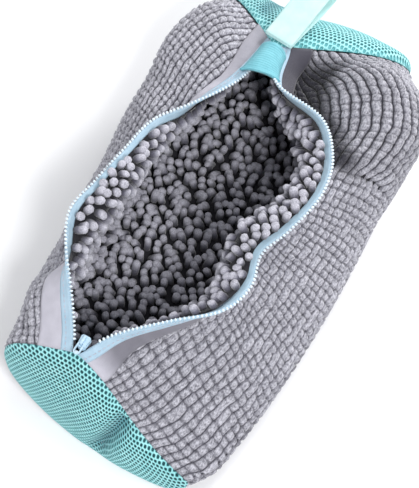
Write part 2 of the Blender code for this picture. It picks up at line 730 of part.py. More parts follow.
def build_hang_loop():
    """Webbing loop sewn in the far seam: one strip folded back on itself round an open gap."""
    root = zip_centre(1.0) + np.array([0.0, LOOP_SETBACK, LOOP_RISE])
    path = loop_path()
    slope = unit(np.gradient(path, axis=0))
    offset = np.stack([-slope[:, 1], slope[:, 0]], axis=1) * LOOP_WEBBING_THICKNESS
    bm = slab_mesh(swept_webbing(path + offset), swept_webbing(path))[0]
    loop = link_mesh("hang_loop", bm, WEBBING)
    loop.matrix_world = Matrix.Translation(root) @ Matrix.Rotation(LOOP_YAW, 4, "Z")


def main():
    build_shell()
    build_collar()
    build_lining()
    build_ends()
    build_teeth()
    frame = build_slider()
    build_bottom_stop(frame)
    build_keeper()
    build_hang_loop()


main()
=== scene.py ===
"""Looks of the open shoe wash bag: tufted chenille, air mesh, zip, keeper, hang loop and noodles."""

import math

import bmesh
import bpy
import numpy as np
from mathutils import Matrix, Vector


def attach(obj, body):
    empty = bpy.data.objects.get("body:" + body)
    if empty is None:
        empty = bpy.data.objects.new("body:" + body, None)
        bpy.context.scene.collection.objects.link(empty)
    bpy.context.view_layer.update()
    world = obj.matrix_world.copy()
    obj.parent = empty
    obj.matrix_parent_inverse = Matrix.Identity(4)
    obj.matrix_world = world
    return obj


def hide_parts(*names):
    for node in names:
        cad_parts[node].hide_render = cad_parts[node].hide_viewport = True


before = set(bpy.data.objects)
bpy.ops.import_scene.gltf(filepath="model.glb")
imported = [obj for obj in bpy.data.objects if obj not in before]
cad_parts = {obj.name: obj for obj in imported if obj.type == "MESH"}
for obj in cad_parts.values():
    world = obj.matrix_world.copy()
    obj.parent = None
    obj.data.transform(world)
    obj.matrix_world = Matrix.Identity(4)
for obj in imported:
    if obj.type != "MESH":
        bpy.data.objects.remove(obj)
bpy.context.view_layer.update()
RNG = np.random.default_rng(7)
UP = np.array([0.0, 0.0, 1.0])
LEVEL = np.array([1.0, 1.0, 0.0])

# Sizes of the sewn shell, as in the solids
HALF_WIDTH = 0.110
HALF_LENGTH = 0.200
BAG_HEIGHT = 0.120
FLOOR_EDGE_REACH = 0.026
FLOOR_EDGE_SOFTNESS = 0.014
FLOOR_EDGE_DROP = 0.55
FLOOR_END_BOW = 0.010
FLOOR_BOW_FADE = 0.050
NEAR_CORNER_TUCK = 0.024
TAPE_WIDTH = 0.009
FACING_WIDTH = 0.016
COLLAR = TAPE_WIDTH + FACING_WIDTH

# How finely curves and sheets are sampled
SECTION_POINTS = 48
DENSE_STATIONS = 600
PANEL_POINTS = 60
NORMAL_SHARES = 40
COLLAR_STEP = 0.003
LIP_STEP = 0.001
PILE_STEP = {"left": 0.0012, "right": 0.0012, "bottom": 0.0020}
LINING_STEP = 0.006
LINING_COLUMNS = 40
# Places on a grid stay this far short of its count of points
LAST_CELL = 1.001
# Height of the points inside the bag that normals are turned away from
INSIDE_HEIGHT = 0.05
WELD_DISTANCE = 1e-6
SHORTEST_EDGE = 1e-7

# Fold of the far right wall: a crease beside the zip and a swell beyond it.
# Stations where it starts, is full, is fading and ends; shares of the wall; depths in heights.
FOLD_STATIONS = (0.64, 0.78, 0.93, 1.00)
CREASE_SHARE, CREASE_SPREAD, CREASE_DEPTH = 0.27, 0.13, 0.22
SWELL_SHARE, SWELL_SPREAD, SWELL_RISE = 0.58, 0.22, 0.08

# Guide curves of the shell: station, across in half widths, along in half lengths, up in heights
LIP = {
    "left": [
        (0.00, -0.375, -0.860, 0.790), (0.05, -0.420, -0.800, 0.825), (0.12, -0.540, -0.685, 0.905),
        (0.20, -0.680, -0.560, 0.990), (0.28, -0.775, -0.435, 1.025), (0.40, -0.730, -0.265, 1.015),
        (0.52, -0.675, -0.095, 0.990), (0.64, -0.610, 0.075, 0.955), (0.74, -0.465, 0.200, 0.915),
        (0.86, -0.265, 0.395, 0.860), (1.00, -0.200, 0.665, 0.710),
    ],
    "right": [
        (0.00, -0.335, -0.860, 0.790), (0.05, -0.175, -0.765, 0.865), (0.12, 0.120, -0.650, 0.940),
        (0.20, 0.410, -0.535, 0.965), (0.28, 0.500, -0.405, 0.960), (0.36, 0.465, -0.275, 0.960),
        (0.46, 0.560, -0.140, 0.960), (0.58, 0.645, 0.055, 0.960), (0.68, 0.590, 0.215, 0.950),
        (0.77, 0.400, 0.360, 0.915), (0.86, 0.020, 0.450, 0.840), (1.00, -0.145, 0.665, 0.710),
    ],
}
SIDE_SEAM = {
    "left": [
        (0.00, -0.860, -0.895, 0.415), (0.06, -0.890, -0.820, 0.365), (0.16, -0.920, -0.630, 0.300),
        (0.40, -0.905, -0.230, 0.265), (0.65, -0.950, 0.270, 0.265), (0.80, -0.935, 0.570, 0.280),
        (0.92, -0.865, 0.825, 0.300), (1.00, -0.765, 0.940, 0.290),
    ],
    "right": [
        (0.00, 0.565, -1.005, 0.165), (0.04, 0.668, -0.945, 0.160), (0.14, 0.765, -0.780, 0.165),
        (0.30, 0.872, -0.455, 0.190), (0.55, 0.948, 0.070, 0.210), (0.65, 0.955, 0.260, 0.222),
        (0.76, 0.990, 0.460, 0.235), (0.90, 0.930, 0.725, 0.310), (1.00, 0.700, 0.940, 0.290),
    ],
}
# Station, lean at the lip and flare at the seam in degrees, each with its tangent's length in heights
WALL = {
    "left": [
        (0.00, 75, 0.18, -10, 0.33), (0.06, 68, 0.20, -6, 0.34), (0.14, 50, 0.22, -8, 0.38),
        (0.22, -40, 0.30, -15, 0.42), (0.30, -72, 0.36, -19, 0.45), (0.58, -72, 0.38, -26, 0.52),
        (0.70, -45, 0.30, -28, 0.54), (0.80, 30, 0.24, -29, 0.55), (0.88, 62, 0.26, -22, 0.48),
        (1.00, 75, 0.25, 10, 0.28),
    ],
    "right": [
        (0.00, 80, 0.35, 82, 0.50), (0.06, 10, 0.33, 70, 0.42), (0.14, -20, 0.32, 45, 0.37),
        (0.20, -52, 0.38, 30, 0.36), (0.27, -76, 0.44, 20, 0.36), (0.60, -78, 0.44, 0, 0.44),
        (0.72, -54, 0.38, -13, 0.54), (0.82, -18, 0.32, -24, 0.66), (0.91, 34, 0.26, -16, 0.56),
        (1.00, 75, 0.29, 25, 0.30),
    ],
}

# Slouch of the cloth: a general one, the far fold, gathers at the near mesh and creases of the left wall.
# Waves are in radians by station and by share of the wall; windows are start, full, fading and end.
SLOUCH = 0.0012
SLOUCH_WAVES = ((23.0, 5.0), (9.0, 3.1))
SLOUCH_STATIONS = (0.0, 0.03, 0.97, 1.0)
SLOUCH_SHARES = (0.0, 0.10, 0.90, 1.0)
FAR_FOLD_STATION = 0.675
FAR_FOLD_SLANT = 0.03
FAR_FOLD_DEPTH, FAR_FOLD_WIDTH = 0.0035, 0.013
FAR_FOLD_SHARES = (0.10, 0.40, 0.83, 0.98)
FAR_RIDGE_RISE, FAR_RIDGE_WIDTH, FAR_RIDGE_SHIFT = 0.0020, 0.02, 0.035
FAR_RIDGE_SHARES = (0.05, 0.35)
GATHER_DEPTH = 0.0011
GATHER_WAVES = (20.0, 34.0)
GATHER_FADE = 0.07
GATHER_SHARES = (0.35, 0.55)
LEFT_CREASES = (0.30, 0.62)
LEFT_CREASE_DEPTH, LEFT_CREASE_WIDTH, LEFT_CREASE_SLANT = 0.0026, 0.035, 0.4
LEFT_CREASE_STATIONS = (0.34, 0.18)

# Tufted chenille: rows of pile along the bag, each cut across into tufts.
# Width of a row at some stations: the far right wall is stretched, the near one is gathered
ROW_PITCH = {
    "left": [(0.0, 0.0072), (1.0, 0.0078)],
    "right": [(0.0, 0.0068), (0.55, 0.0070), (0.78, 0.0083), (1.0, 0.0083)],
    "bottom": [(0.0, 0.0078), (1.0, 0.0078)],
}
ROW_WANDER = 0.0013
ROW_WANDER_WAVES = (0.017, 0.031, 0.071)
# Share of a row's width and of the tuft's rise
TUFT_PROFILE = ((0.0, 0.0), (0.10, 0.55), (0.26, 0.88), (0.50, 1.0), (0.74, 0.88), (0.90, 0.55))
TUFT_LENGTH = 0.0073
TUFT_STAGGER = 0.0008
TUFT_RISE = 0.0036
TUFT_SUNK = 0.6
TUFT_UNEVEN = 0.16
CUTS_MISSED = 0.10
CUT_WIDTH = 0.0021
CUT_SOFTNESS = 0.7
CUT_SHARE = 0.85
PILE_ROUGHNESS = 0.00022
# The pile at the panel's sides and at its ends: share of its height, and how far it rolls under
SIDE_PILE, SIDE_ROLL = 0.35, 0.0018
END_PILE, END_ROLL = 0.70, 0.0005
EDGE_ROLL_WIDTH = 0.005
# How deeply the rows are cut across, and how dark the painted shade in the cuts and the lines between rows
# is: near and far values
CUT_DEPTH = {"left": (0.55, 0.55), "right": (1.0, 0.55), "bottom": (1.0, 0.55)}
CUT_STATIONS = (FAR_FOLD_STATION, FAR_FOLD_STATION + 0.04)
GROOVE_SHADE = {"left": (0.85, 1.0), "right": (0.74, 1.0), "bottom": (0.85, 1.0)}
BEYOND_FOLD = (FAR_FOLD_STATION, FAR_FOLD_STATION + 0.06)
GROOVE_STATIONS = {"left": (0.5, 0.7), "right": BEYOND_FOLD, "bottom": (0.5, 0.7)}
# Shade in the far right fold, with the distances from the facing where it ends and where it is full
FOLD_SHADE_STATIONS = (0.655, 0.720, 0.950, 1.000)
FOLD_SHADE_REACH = (0.050, 0.026)
FAR_SHADE = 0.16

# Lining and noodles
LINING_START = 0.0050
LINING_DEPTH = 0.0050
LINING_EDGE = 0.0018
LINING_SWELL = 0.012
NOODLE_SPACING = 0.0070
NOODLE_LINES = 0.87 * NOODLE_SPACING
NOODLE_RADIUS = (0.0029, 0.0035)
NOODLE_LENGTH = (0.009, 0.013)
# Noodles beside the tape are trimmed to a share of their length, over this distance from the tape
NOODLE_LIP_SHARE = 0.72
NOODLE_LIP_REACH = 0.030
# Share of the noodle's length and of its radius at each ring
NOODLE_RINGS = ((0.0, 0.80), (0.25, 0.98), (0.55, 1.0), (0.80, 0.98), (0.91, 0.80), (0.97, 0.52), (1.0, 0.16))
NOODLE_SIDES = 8
NOODLE_START, NOODLE_STAGGER = 0.25, 0.5
NOODLE_JITTER, NOODLE_LINE_JITTER = 0.14, 0.15
NOODLE_SHARES = (0.02, 0.98)
NOODLE_SWAY, NOODLE_LEAN = 0.23, 0.10
NOODLE_BEND, NOODLE_DROOP = 0.12, 0.22
NOODLE_ROOT = 0.001
# A noodle is left out when a point this far along it would lie lower than this
NOODLE_TESTED, NOODLE_LOWEST = 0.016, 0.004
# A direction that no noodle points along
ODD_DIRECTION = (0.31, 0.17, 0.93)

# Air mesh
HOLE_PITCH = 0.0035
HOLE_ROW_PITCH = HOLE_PITCH * 0.87
HOLE_RADIUS = 0.00118
HOLE_STRETCH = 1.1
CELL_RIM = ((0, 0), (0.5, 0), (1, 0), (1, 0.5), (1, 1), (0.5, 1), (0, 1), (0, 0.5))
MESH_SKIN = 0.0005
MESH_LOFT = 0.0014
MESH_LOFT_DOWN, MESH_LOFT_ALONG = 8, 12
MESH_FULLNESS = 0.7
MESH_SLIVER = 2e-4
MESH_SHALLOWEST = 1e-5
MESH_SAMPLES_ALONG, MESH_SAMPLES_DOWN = 200, 30
BACKING_ALONG, BACKING_DOWN = 90, 40
BACKING_MARGIN = 0.002
VALLEY_WINDOW = (0.0, 0.125, 0.75, 1.0)
# Each end: its station, its dome, how fast the dome fades towards the tips, its direction, and its crease:
# share along at the top seam, shift down the panel, width, depth
MESH_ENDS = {
    "near": (0.0, 0.010, 1.2, (0.0, -1.0, 0.15), (0.68, -0.14, 0.040, 0.008)),
    "far": (1.0, 0.026, 0.7, (0.0, 1.0, 0.35), (0.30, 0.05, 0.050, 0.002)),
}

# Zip
TOOTH_PITCH = 0.0031
TOOTH_SIZE = (0.0028, 0.0016, 0.0022)
TOOTH_EASE = 0.0005
TOOTH_OVERHANG = 0.0006
TEETH_SPAN = (0.030, 0.955)
LIP_PROBE = np.array([0.0, 0.002, 0.004])
TAPE_THICKNESS = 0.0010
TAPE_START = 0.0002
TAPE_FACE = 0.0002
TAPE_CORD = (0.0007, 0.0007, 0.0001, 0.0, 0.0, 0.0, 0.0)
TAPE_CORD_UNDER = 0.7

# Facing: how far from the lip it shows before the pile falls over it (station, distance), and its shade
FACING_SHOWS = {
    "left": [(0.0, COLLAR), (0.60, COLLAR), (0.72, 0.015), (0.84, 0.014), (0.93, 0.024), (1.0, COLLAR)],
    "right": [
        (0.0, COLLAR), (0.05, 0.023), (0.11, 0.016), (0.22, 0.015), (0.30, 0.022), (0.40, COLLAR),
        (1.0, COLLAR),
    ],
}
FACING_COLUMNS = 10
FACING_LAP = 0.0012
FACING_TUCK = 0.0025
FACING_SWELL, FACING_FULLNESS = 0.0011, 0.6
FACING_FACE, FACING_UNDER = 0.0003, 0.0008
LEAF_SHADE, LEAF_STATIONS = 0.70, (0.0, 0.05, 0.22, 0.30)
FAR_LEFT_SHADE, FAR_LEFT_STATIONS = 0.45, (0.80, 0.90)

# Stitches: widths along one stitch in radii, and where the three seams lie
STITCH_LENGTH = 0.0026
STITCH_PITCH = STITCH_LENGTH + 0.0012
STITCH_RADIUS = 0.00035
STITCH_WIDTHS = (0.35, 1.0, 1.0, 0.35)
STITCH_SIDES = 6
STITCH_FLATNESS = 0.8
STITCH_LIFT = 0.0011
TAPE_STITCH_LIFT = TAPE_THICKNESS + 0.0001
TAPE_SEAM = TAPE_WIDTH * 0.62
FACING_SEAM = TAPE_WIDTH + 0.0012
HEM_MARGIN = 0.0016

# Keeper
KEEPER_POINTS = 60
KEEPER_SPAN = (0.885, 0.962)
KEEPER_FULLNESS = 0.50
KEEPER_BROW = np.array([0.0, -0.006, 0.0])
KEEPER_FOOT = 0.0060
KEEPER_ARCH = 0.0105
KEEPER_LIFT = 0.0006
KEEPER_RISE = np.array([0.0, 0.34, 0.94])
KEEPER_RIB, KEEPER_RIBS = 0.00025, 14
KEEPER_HEM, KEEPER_HEM_ROWS = 0.0006, 3.0
KEEPER_FACE, KEEPER_UNDER = 0.0009, 0.0004

# Hang loop
LOOP_LENGTH = 0.066
LOOP_HALF_GAP = 0.013 / 2
LOOP_ROOT_GAP = 0.0006
LOOP_SPREAD = 1.5
LOOP_WIDTH = 0.025
LOOP_THICKNESS = 0.0016
LOOP_EDGE = (0.9, 1.0)
LOOP_EDGE_LOSS = 0.5
LOOP_YAW = math.radians(-12.0)
LOOP_OFFSET = np.array([0.0, 0.004, 0.0034])
LOOP_POINTS, LOOP_TURN_POINTS, LOOP_COLUMNS = 25, 15, 21

# Stage, lights (place, target, size, power) and camera
FLOOR_HALF = 6.0
FLOOR_DROP = 0.0005
PAPER_COLOUR, PAPER_ROUGHNESS = (0.92, 0.92, 0.93, 1.0), 0.9
WORLD_COLOUR, WORLD_STRENGTH = (0.95, 0.97, 1.0, 1.0), 0.48
LIGHTS = {
    "key": ((0.9, -0.9, 1.5), (0, 0, 0.05), 0.5, 24),
    "top": ((0.1, 0.5, 1.8), (0, 0, 0.05), 1.0, 6),
    "fill": ((-1.1, -0.5, 1.2), (0, 0, 0.05), 0.8, 6),
    "back": ((0.3, 1.4, 0.40), (0, 0.1, 0.05), 0.4, 19),
}
CAMERA_AZIMUTH = math.radians(25.0)
CAMERA_ELEVATION = math.radians(62.0)
CAMERA_DISTANCE = 1.35
CAMERA_TARGET = Vector((0.0, -0.031, 0.05))
CAMERA_LENS = 131.3
CAMERA_CLIP = 0.01


# Curves and grids

def through(rows, station):
    """Smooth curve through rows of (station, values...), read at one station."""
    table = np.array(rows, dtype=float)
    knots = table[:, 0]
    values = table[:, 1:]
    slopes = np.gradient(values, knots, axis=0)
    i = int(np.clip(np.searchsorted(knots, station, side="right") - 1, 0, len(knots) - 2))
    step = knots[i + 1] - knots[i]
    t = (station - knots[i]) / step
    return (
        (2 * t**3 - 3 * t**2 + 1) * values[i]
        + (t**3 - 2 * t**2 + t) * step * slopes[i]
        + (3 * t**2 - 2 * t**3) * values[i + 1]
        + (t**3 - t**2) * step * slopes[i + 1]
    )


def guide(rows, station):
    return through(rows, station) * np.array([HALF_WIDTH, HALF_LENGTH, BAG_HEIGHT])


def table_at(rows, station):
    """Straight lines through rows of (station, value)."""
    return np.interp(station, *np.array(rows).T)


def bezier(corners, count):
    t = np.linspace(0.0, 1.0, count)[:, None]
    a, b, c, d = corners
    return (1 - t) ** 3 * a + 3 * t * (1 - t) ** 2 * b + 3 * t**2 * (1 - t) * c + t**3 * d


def unit(vectors):
    return vectors / np.maximum(np.linalg.norm(vectors, axis=-1, keepdims=True), 1e-12)


def smooth(x):
    x = np.clip(x, 0.0, 1.0)
    return x * x * (3 - 2 * x)


def rise(x, start, full):
    """0 at the start and 1 where it is full, on whichever side of the start that lies."""
    return smooth((x - start) / (full - start))


def window(x, start, full, fading, end):
    return rise(x, start, full) * rise(x, end, fading)


def hump(x, width):
    return np.exp(-((x / width) ** 2))


def blend(pair, share):
    return pair[0] + (pair[1] - pair[0]) * share


def arc_lengths(points):
    return np.concatenate([[0.0], np.cumsum(np.linalg.norm(np.diff(points, axis=0), axis=1))])


def read_along(points, lengths, wanted):
    return np.stack([np.interp(wanted, lengths, points[:, k]) for k in range(3)], axis=-1)


def wall_section(side, station):
    """One wall from its lip down to its side seam."""
    lip = guide(LIP[side], station)
    seam = guide(SIDE_SEAM[side], station)
    lean, lip_pull, flare, seam_pull = through(WALL[side], station)
    lean, flare = math.radians(lean), math.radians(flare)
    outward = unit((seam - lip) * LEVEL)
    lip_tangent = lip_pull * BAG_HEIGHT * (outward * math.sin(lean) - UP * math.cos(lean))
    seam_tangent = seam_pull * BAG_HEIGHT * (outward * math.sin(flare) - UP * math.cos(flare))
    points = bezier([lip, lip + lip_tangent, seam - seam_tangent, seam], SECTION_POINTS)
    if side == "right":
        points = points + far_fold(station, unit(seam - lip))
    return points


def read_wall(side, station, distances):
    """Points of a wall at some distances from its lip."""
    section = wall_section(side, station)
    return read_along(section, arc_lengths(section), distances)


def far_fold(station, chord):
    """Offsets that fold the far right wall, square to the line from its lip to its seam."""
    t = np.linspace(0.0, 1.0, SECTION_POINTS)
    crease = CREASE_DEPTH * hump(t - CREASE_SHARE, CREASE_SPREAD)
    swell = SWELL_RISE * hump(t - SWELL_SHARE, SWELL_SPREAD)
    fold = (swell - crease) * np.sin(np.pi * t) * BAG_HEIGHT * window(station, *FOLD_STATIONS)
    return fold[:, None] * unit(UP - chord * chord[2])


def floor_section(station):
    """The floor panel from the left side seam to the right one, flat on Z = 0 between its edges."""
    left = guide(SIDE_SEAM["left"], station)
    right = guide(SIDE_SEAM["right"], station)
    across = unit((right - left) * LEVEL)
    near = math.exp(-station / FLOOR_BOW_FADE)
    far = math.exp(-(1.0 - station) / FLOOR_BOW_FADE)
    left_edge = left * LEVEL + across * (FLOOR_EDGE_REACH + NEAR_CORNER_TUCK * near)
    right_edge = right * LEVEL - across * FLOOR_EDGE_REACH
    soft = across * FLOOR_EDGE_SOFTNESS
    drop = UP * FLOOR_EDGE_DROP
    left_turn = bezier([left, left - drop * left[2], left_edge - soft, left_edge], SECTION_POINTS // 2)
    right_turn = bezier([right_edge, right_edge + soft, right - drop * right[2], right], SECTION_POINTS // 2)
    middle = np.linspace(left_edge, right_edge, SECTION_POINTS)[1:-1]
    points = np.concatenate([left_turn, middle, right_turn])
    share = np.linspace(0.0, 1.0, len(points))
    points[:, 1] += FLOOR_END_BOW * (far - near) * 4 * share * (1 - share)
    return points


def stations_by_length(rows, step):
    """Stations spaced evenly along a guide curve, with the length run at each."""
    dense = np.linspace(0.0, 1.0, DENSE_STATIONS)
    lengths = arc_lengths(np.array([guide(rows, s) for s in dense]))
    count = int(round(lengths[-1] / step)) + 1
    wanted = np.linspace(0.0, lengths[-1], count)
    return np.interp(wanted, lengths, dense), wanted


def grid_normals(points):
    """Normals of a grid of points, from its own slopes; the sign is the caller's."""
    return unit(np.cross(np.gradient(points, axis=0), np.gradient(points, axis=1)))


def outward_normals(points):
    """Normals of a grid of points on the shell, turned away from the inside of the bag."""
    normals = grid_normals(points)
    middle = (points.shape[0] // 2, points.shape[1] // 2)
    inside = np.array([0.0, points[middle][1], INSIDE_HEIGHT])
    return normals if np.dot(normals[middle], points[middle] - inside) >= 0 else -normals


def grid_quads(rows, columns):
    r, c = np.meshgrid(np.arange(rows - 1), np.arange(columns - 1), indexing="ij")
    first = (r * columns + c).ravel()
    return np.stack([first, first + 1, first + columns + 1, first + columns], axis=1)


def tube_faces(rings, sides, start=0, ends=2):
    """Faces of a tube of rings of points, with no end closed, only the last ring or both ends."""
    r, c = np.meshgrid(np.arange(rings - 1), np.arange(sides), indexing="ij")
    here = (start + r * sides + c).ravel()
    beside = (start + r * sides + (c + 1) % sides).ravel()
    faces = np.stack([here, beside, beside + sides, here + sides], axis=1).tolist()
    first = np.arange(start, start + sides)
    caps = [(first + (rings - 1) * sides).tolist(), first[::-1].tolist()]
    return faces + caps[:ends]


def add_object(name, data):
    made = bpy.data.objects.new(name, data)
    bpy.context.scene.collection.objects.link(made)
    return made


def add_piece(name, verts, faces, material, slot, body="bag", replaces=(), attributes=None):
    """A smooth-shaded mesh that rides on a body of the frame and stands for its nodes."""
    mesh = bpy.data.meshes.new(name)
    mesh.from_pydata(np.asarray(verts).reshape(-1, 3).tolist(), [], [list(map(int, f)) for f in faces])
    for key, values in (attributes or {}).items():
        layer = mesh.attributes.new(key, "FLOAT", "POINT")
        layer.data.foreach_set("value", np.asarray(values, dtype=np.float32).ravel())
    bm = bmesh.new()
    bm.from_mesh(mesh)
    bmesh.ops.remove_doubles(bm, verts=bm.verts[:], dist=WELD_DISTANCE)
    bmesh.ops.dissolve_degenerate(bm, edges=bm.edges[:], dist=SHORTEST_EDGE)
    loose = [v for v in bm.verts if not v.link_faces]
    bmesh.ops.delete(bm, geom=loose, context="VERTS")
    bm.to_mesh(mesh)
    bm.free()
    mesh.shade_smooth()
    mesh.materials.append(material)
    piece = add_object(name, mesh)
    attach(piece, body)
    if replaces:
        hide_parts(*replaces)
    return piece


# Materials

def linear(r, g, b):
    """A linear colour from its 0 to 255 display values."""
    out = []
    for value in (r, g, b):
        value /= 255
        out.append(value / 12.92 if value <= 0.04045 else ((value + 0.055) / 1.055) ** 2.4)
    return (*out, 1.0)


class Finish:
    """A Principled material with helpers for mottled colour and bump."""

    def __init__(self, name, roughness, sheen=0.0, metallic=0.0):
        self.material = bpy.data.materials.new(name)
        self.material.use_nodes = True
        self.tree = self.material.node_tree
        self.shader = self.tree.nodes["Principled BSDF"]
        self.feed(self.shader, {"Roughness": roughness, "Metallic": metallic})
        self.feed(self.shader, {"Sheen Weight": sheen, "Sheen Roughness": 0.45})
        self.place = self.node("ShaderNodeTexCoord").outputs["Object"]

    def feed(self, node, inputs):
        """Sets each input of a node to a value, or links it to another node's output."""
        for key, value in inputs.items():
            if isinstance(value, bpy.types.NodeSocket):
                self.tree.links.new(value, node.inputs[key])
            else:
                node.inputs[key].default_value = value

    def node(self, kind, inputs=None, **settings):
        made = self.tree.nodes.new(kind)
        for key, value in settings.items():
            setattr(made, key, value)
        self.feed(made, inputs or {})
        return made

    def noise(self, scale, detail=3.0, stretch=(1.0, 1.0, 1.0)):
        place = self.node("ShaderNodeMapping", {"Vector": self.place, "Scale": stretch}).outputs["Vector"]
        inputs = {"Vector": place, "Scale": scale, "Detail": detail}
        return self.node("ShaderNodeTexNoise", inputs).outputs["Fac"]

    def wave(self, scale, direction):
        inputs = {"Vector": self.place, "Scale": scale}
        return self.node("ShaderNodeTexWave", inputs, bands_direction=direction).outputs["Fac"]

    def attribute(self, name):
        return self.node("ShaderNodeAttribute", attribute_name=name).outputs["Fac"]

    def ramp(self, factor, stops):
        """A colour ramp through stops of (position, display colour)."""
        made = self.node("ShaderNodeValToRGB", {"Fac": factor})
        elements = made.color_ramp.elements
        while len(elements) < len(stops):
            elements.new(0.5)
        for element, (position, colour) in zip(elements, stops):
            element.position = position
            element.color = linear(*colour)
        return made.outputs["Color"]

    def mix(self, factor, first, second, blend_type="MIX"):
        inputs = {"Factor": factor, "A": first, "B": second}
        return self.node("ShaderNodeMix", inputs, data_type="RGBA", blend_type=blend_type).outputs["Result"]

    def shaded(self, colour, attribute, stops):
        """A colour darkened by a ramp over one of the mesh's own attributes."""
        return self.mix(1.0, colour, self.ramp(self.attribute(attribute), stops), "MULTIPLY")

    def math(self, operation, first, second):
        return self.node("ShaderNodeMath", {0: first, 1: second}, operation=operation).outputs["Value"]

    def weighted(self, first, first_weight, second, second_weight):
        return self.math("ADD", self.math("MULTIPLY", first, first_weight),
                         self.math("MULTIPLY", second, second_weight))

    def colour(self, output):
        self.feed(self.shader, {"Base Color": output})

    def bump(self, height, strength, distance):
        inputs = {"Height": height, "Strength": strength, "Distance": distance}
        self.feed(self.shader, {"Normal": self.node("ShaderNodeBump", inputs).outputs["Normal"]})


WHITE = (255, 255, 255)


def chenille_finish():
    """Brushed grey pile with short fibres and uneven dye, pale on the tufts with painted shade dark in the
    cuts and deep in the far right fold.
    """
    finish = Finish("chenille_pile", roughness=0.95, sheen=0.25)
    fibres = finish.noise(scale=800.0, detail=2.0, stretch=(1.0, 0.5, 1.0))
    clumps = finish.noise(scale=420.0)
    pile = finish.ramp(fibres, [(0.34, (80, 79, 88)), (0.66, (228, 227, 237))])
    dye = finish.ramp(finish.attribute("tint"), [(0.0, (150, 149, 159)), (1.0, (176, 175, 185))])
    mottle = finish.ramp(clumps, [(0.32, (118, 117, 126)), (0.68, (204, 203, 213))])
    worn = finish.mix(0.5, finish.mix(0.5, dye, mottle), pile)
    # Painted shade in the cuts and in the lines between rows
    cut = finish.shaded(worn, "tuft", [(0.0, (62, 61, 70)), (0.30, (128, 127, 135)), (0.75, WHITE)])
    # Painted shade in the far right fold and, fainter, over the wall beyond it
    finish.colour(finish.shaded(cut, "painted_shade", [(0.0, WHITE), (1.0, (70, 69, 77))]))
    finish.bump(finish.math("ADD", fibres, clumps), strength=1.0, distance=0.0012)
    return finish.material


def noodle_finish():
    """Chenille of the noodles, darkened towards their roots by painted shade."""
    finish = Finish("noodle_chenille", roughness=0.95, sheen=0.4)
    patches = finish.noise(scale=80.0)
    fibres = finish.noise(scale=1100.0, detail=2.0)
    tone = finish.ramp(patches, [(0.3, (156, 155, 166)), (0.7, (192, 191, 203))])
    pile = finish.ramp(fibres, [(0.3, (116, 115, 126)), (0.7, (228, 227, 238))])
    worn = finish.mix(0.45, tone, pile)
    # Painted shade: darkest at the roots and on the sheet between the noodles, none at the tips
    finish.colour(finish.shaded(worn, "reach", [(0.0, (40, 39, 46)), (0.45, (138, 137, 146)), (0.90, WHITE)]))
    finish.bump(fibres, strength=0.7, distance=0.0008)
    return finish.material


def weave_finish(name, low, high, roughness, thread):
    """A plain weave: crossing threads over a faintly mottled colour, darkened by painted shade where it lies
    in shadow.
    """
    finish = Finish(name, roughness, sheen=0.15)
    cross = finish.math("ADD", finish.wave(thread, "X"), finish.wave(thread, "Y"))
    height = finish.math("MULTIPLY", cross, 0.5)
    shade = finish.weighted(height, 0.45, finish.noise(scale=120.0), 0.55)
    weave = finish.ramp(shade, [(0.25, low), (0.75, high)])
    # Painted shade from the piece's own attribute; pieces without it are left as they are
    finish.colour(finish.shaded(weave, "painted_shade", [(0.0, WHITE), (1.0, (96, 94, 102))]))
    finish.bump(height, strength=0.4, distance=0.0004)
    return finish.material


def mesh_finish():
    """Knit skin of the spacer mesh: bright threads, darkened by painted shade towards each hole and in the
    crease.
    """
    finish = Finish("air_mesh_knit", roughness=0.75, sheen=0.2)
    knit = finish.math("ADD", finish.wave(900.0, "X"), finish.wave(900.0, "Z"))
    shade = finish.weighted(knit, 0.2, finish.noise(scale=160.0), 0.6)
    thread = finish.ramp(shade, [(0.25, (128, 206, 211)), (0.75, (184, 243, 244))])
    # Painted shade towards each hole, then in the crease
    rim = finish.shaded(thread, "thread", [(0.0, (150, 190, 192)), (0.7, WHITE)])
    finish.colour(finish.shaded(rim, "painted_shade", [(0.0, WHITE), (1.0, (164, 186, 194))]))
    finish.bump(knit, strength=0.4, distance=0.0003)
    return finish.material


def plastic_finish(name, low, high, roughness, metallic=0.0):
    finish = Finish(name, roughness, metallic=metallic)
    mottle = finish.noise(scale=500.0)
    finish.colour(finish.ramp(mottle, [(0.3, low), (0.7, high)]))
    finish.bump(mottle, strength=0.1, distance=0.0002)
    return finish.material


# Name, darker and lighter colour, roughness, then a weave's thread scale or how metallic a plastic is
CHENILLE = chenille_finish()
NOODLE = noodle_finish()
AIR_MESH = mesh_finish()
# Backing seen through the holes: a darker teal cloth whose colour also holds painted shade; the far copy is
# painted lighter as painted light on the far end
MESH_BACK = {
    "near": weave_finish("air_mesh_back", (20, 68, 74), (38, 96, 102), 0.85, 700.0),
    "far": weave_finish("air_mesh_back_painted_light", (74, 150, 156), (104, 182, 188), 0.85, 700.0),
}
FACING = weave_finish("facing_cloth", (174, 172, 183), (200, 198, 209), 0.9, 700.0)
TAPE = weave_finish("zip_tape_weave", (150, 180, 200), (184, 208, 224), 0.85, 620.0)
ELASTIC = weave_finish("elastic_knit", (96, 168, 182), (130, 200, 212), 0.8, 520.0)
WEBBING = weave_finish("webbing_weave", (188, 232, 230), (216, 247, 245), 0.8, 480.0)
TEETH = plastic_finish("tooth_plastic", (214, 230, 240), (236, 246, 252), 0.35)
SLIDER = plastic_finish("slider_paint", (172, 202, 222), (200, 224, 238), 0.3, 0.2)
THREAD = weave_finish("sewing_thread", (170, 168, 180), (205, 203, 214), 0.8, 1500.0)
# Nodes that keep their solids: finish, and width of the eased edges
DRESSED = {
    "zip_slider": (SLIDER, 0.00025),
    "zip_pull": (SLIDER, 0.0004),
    "zip_bottom_stop": (TEETH, 0.0),
    "left_top_stop": (TEETH, 0.0),
    "right_top_stop": (TEETH, 0.0),
}


# Chenille panels

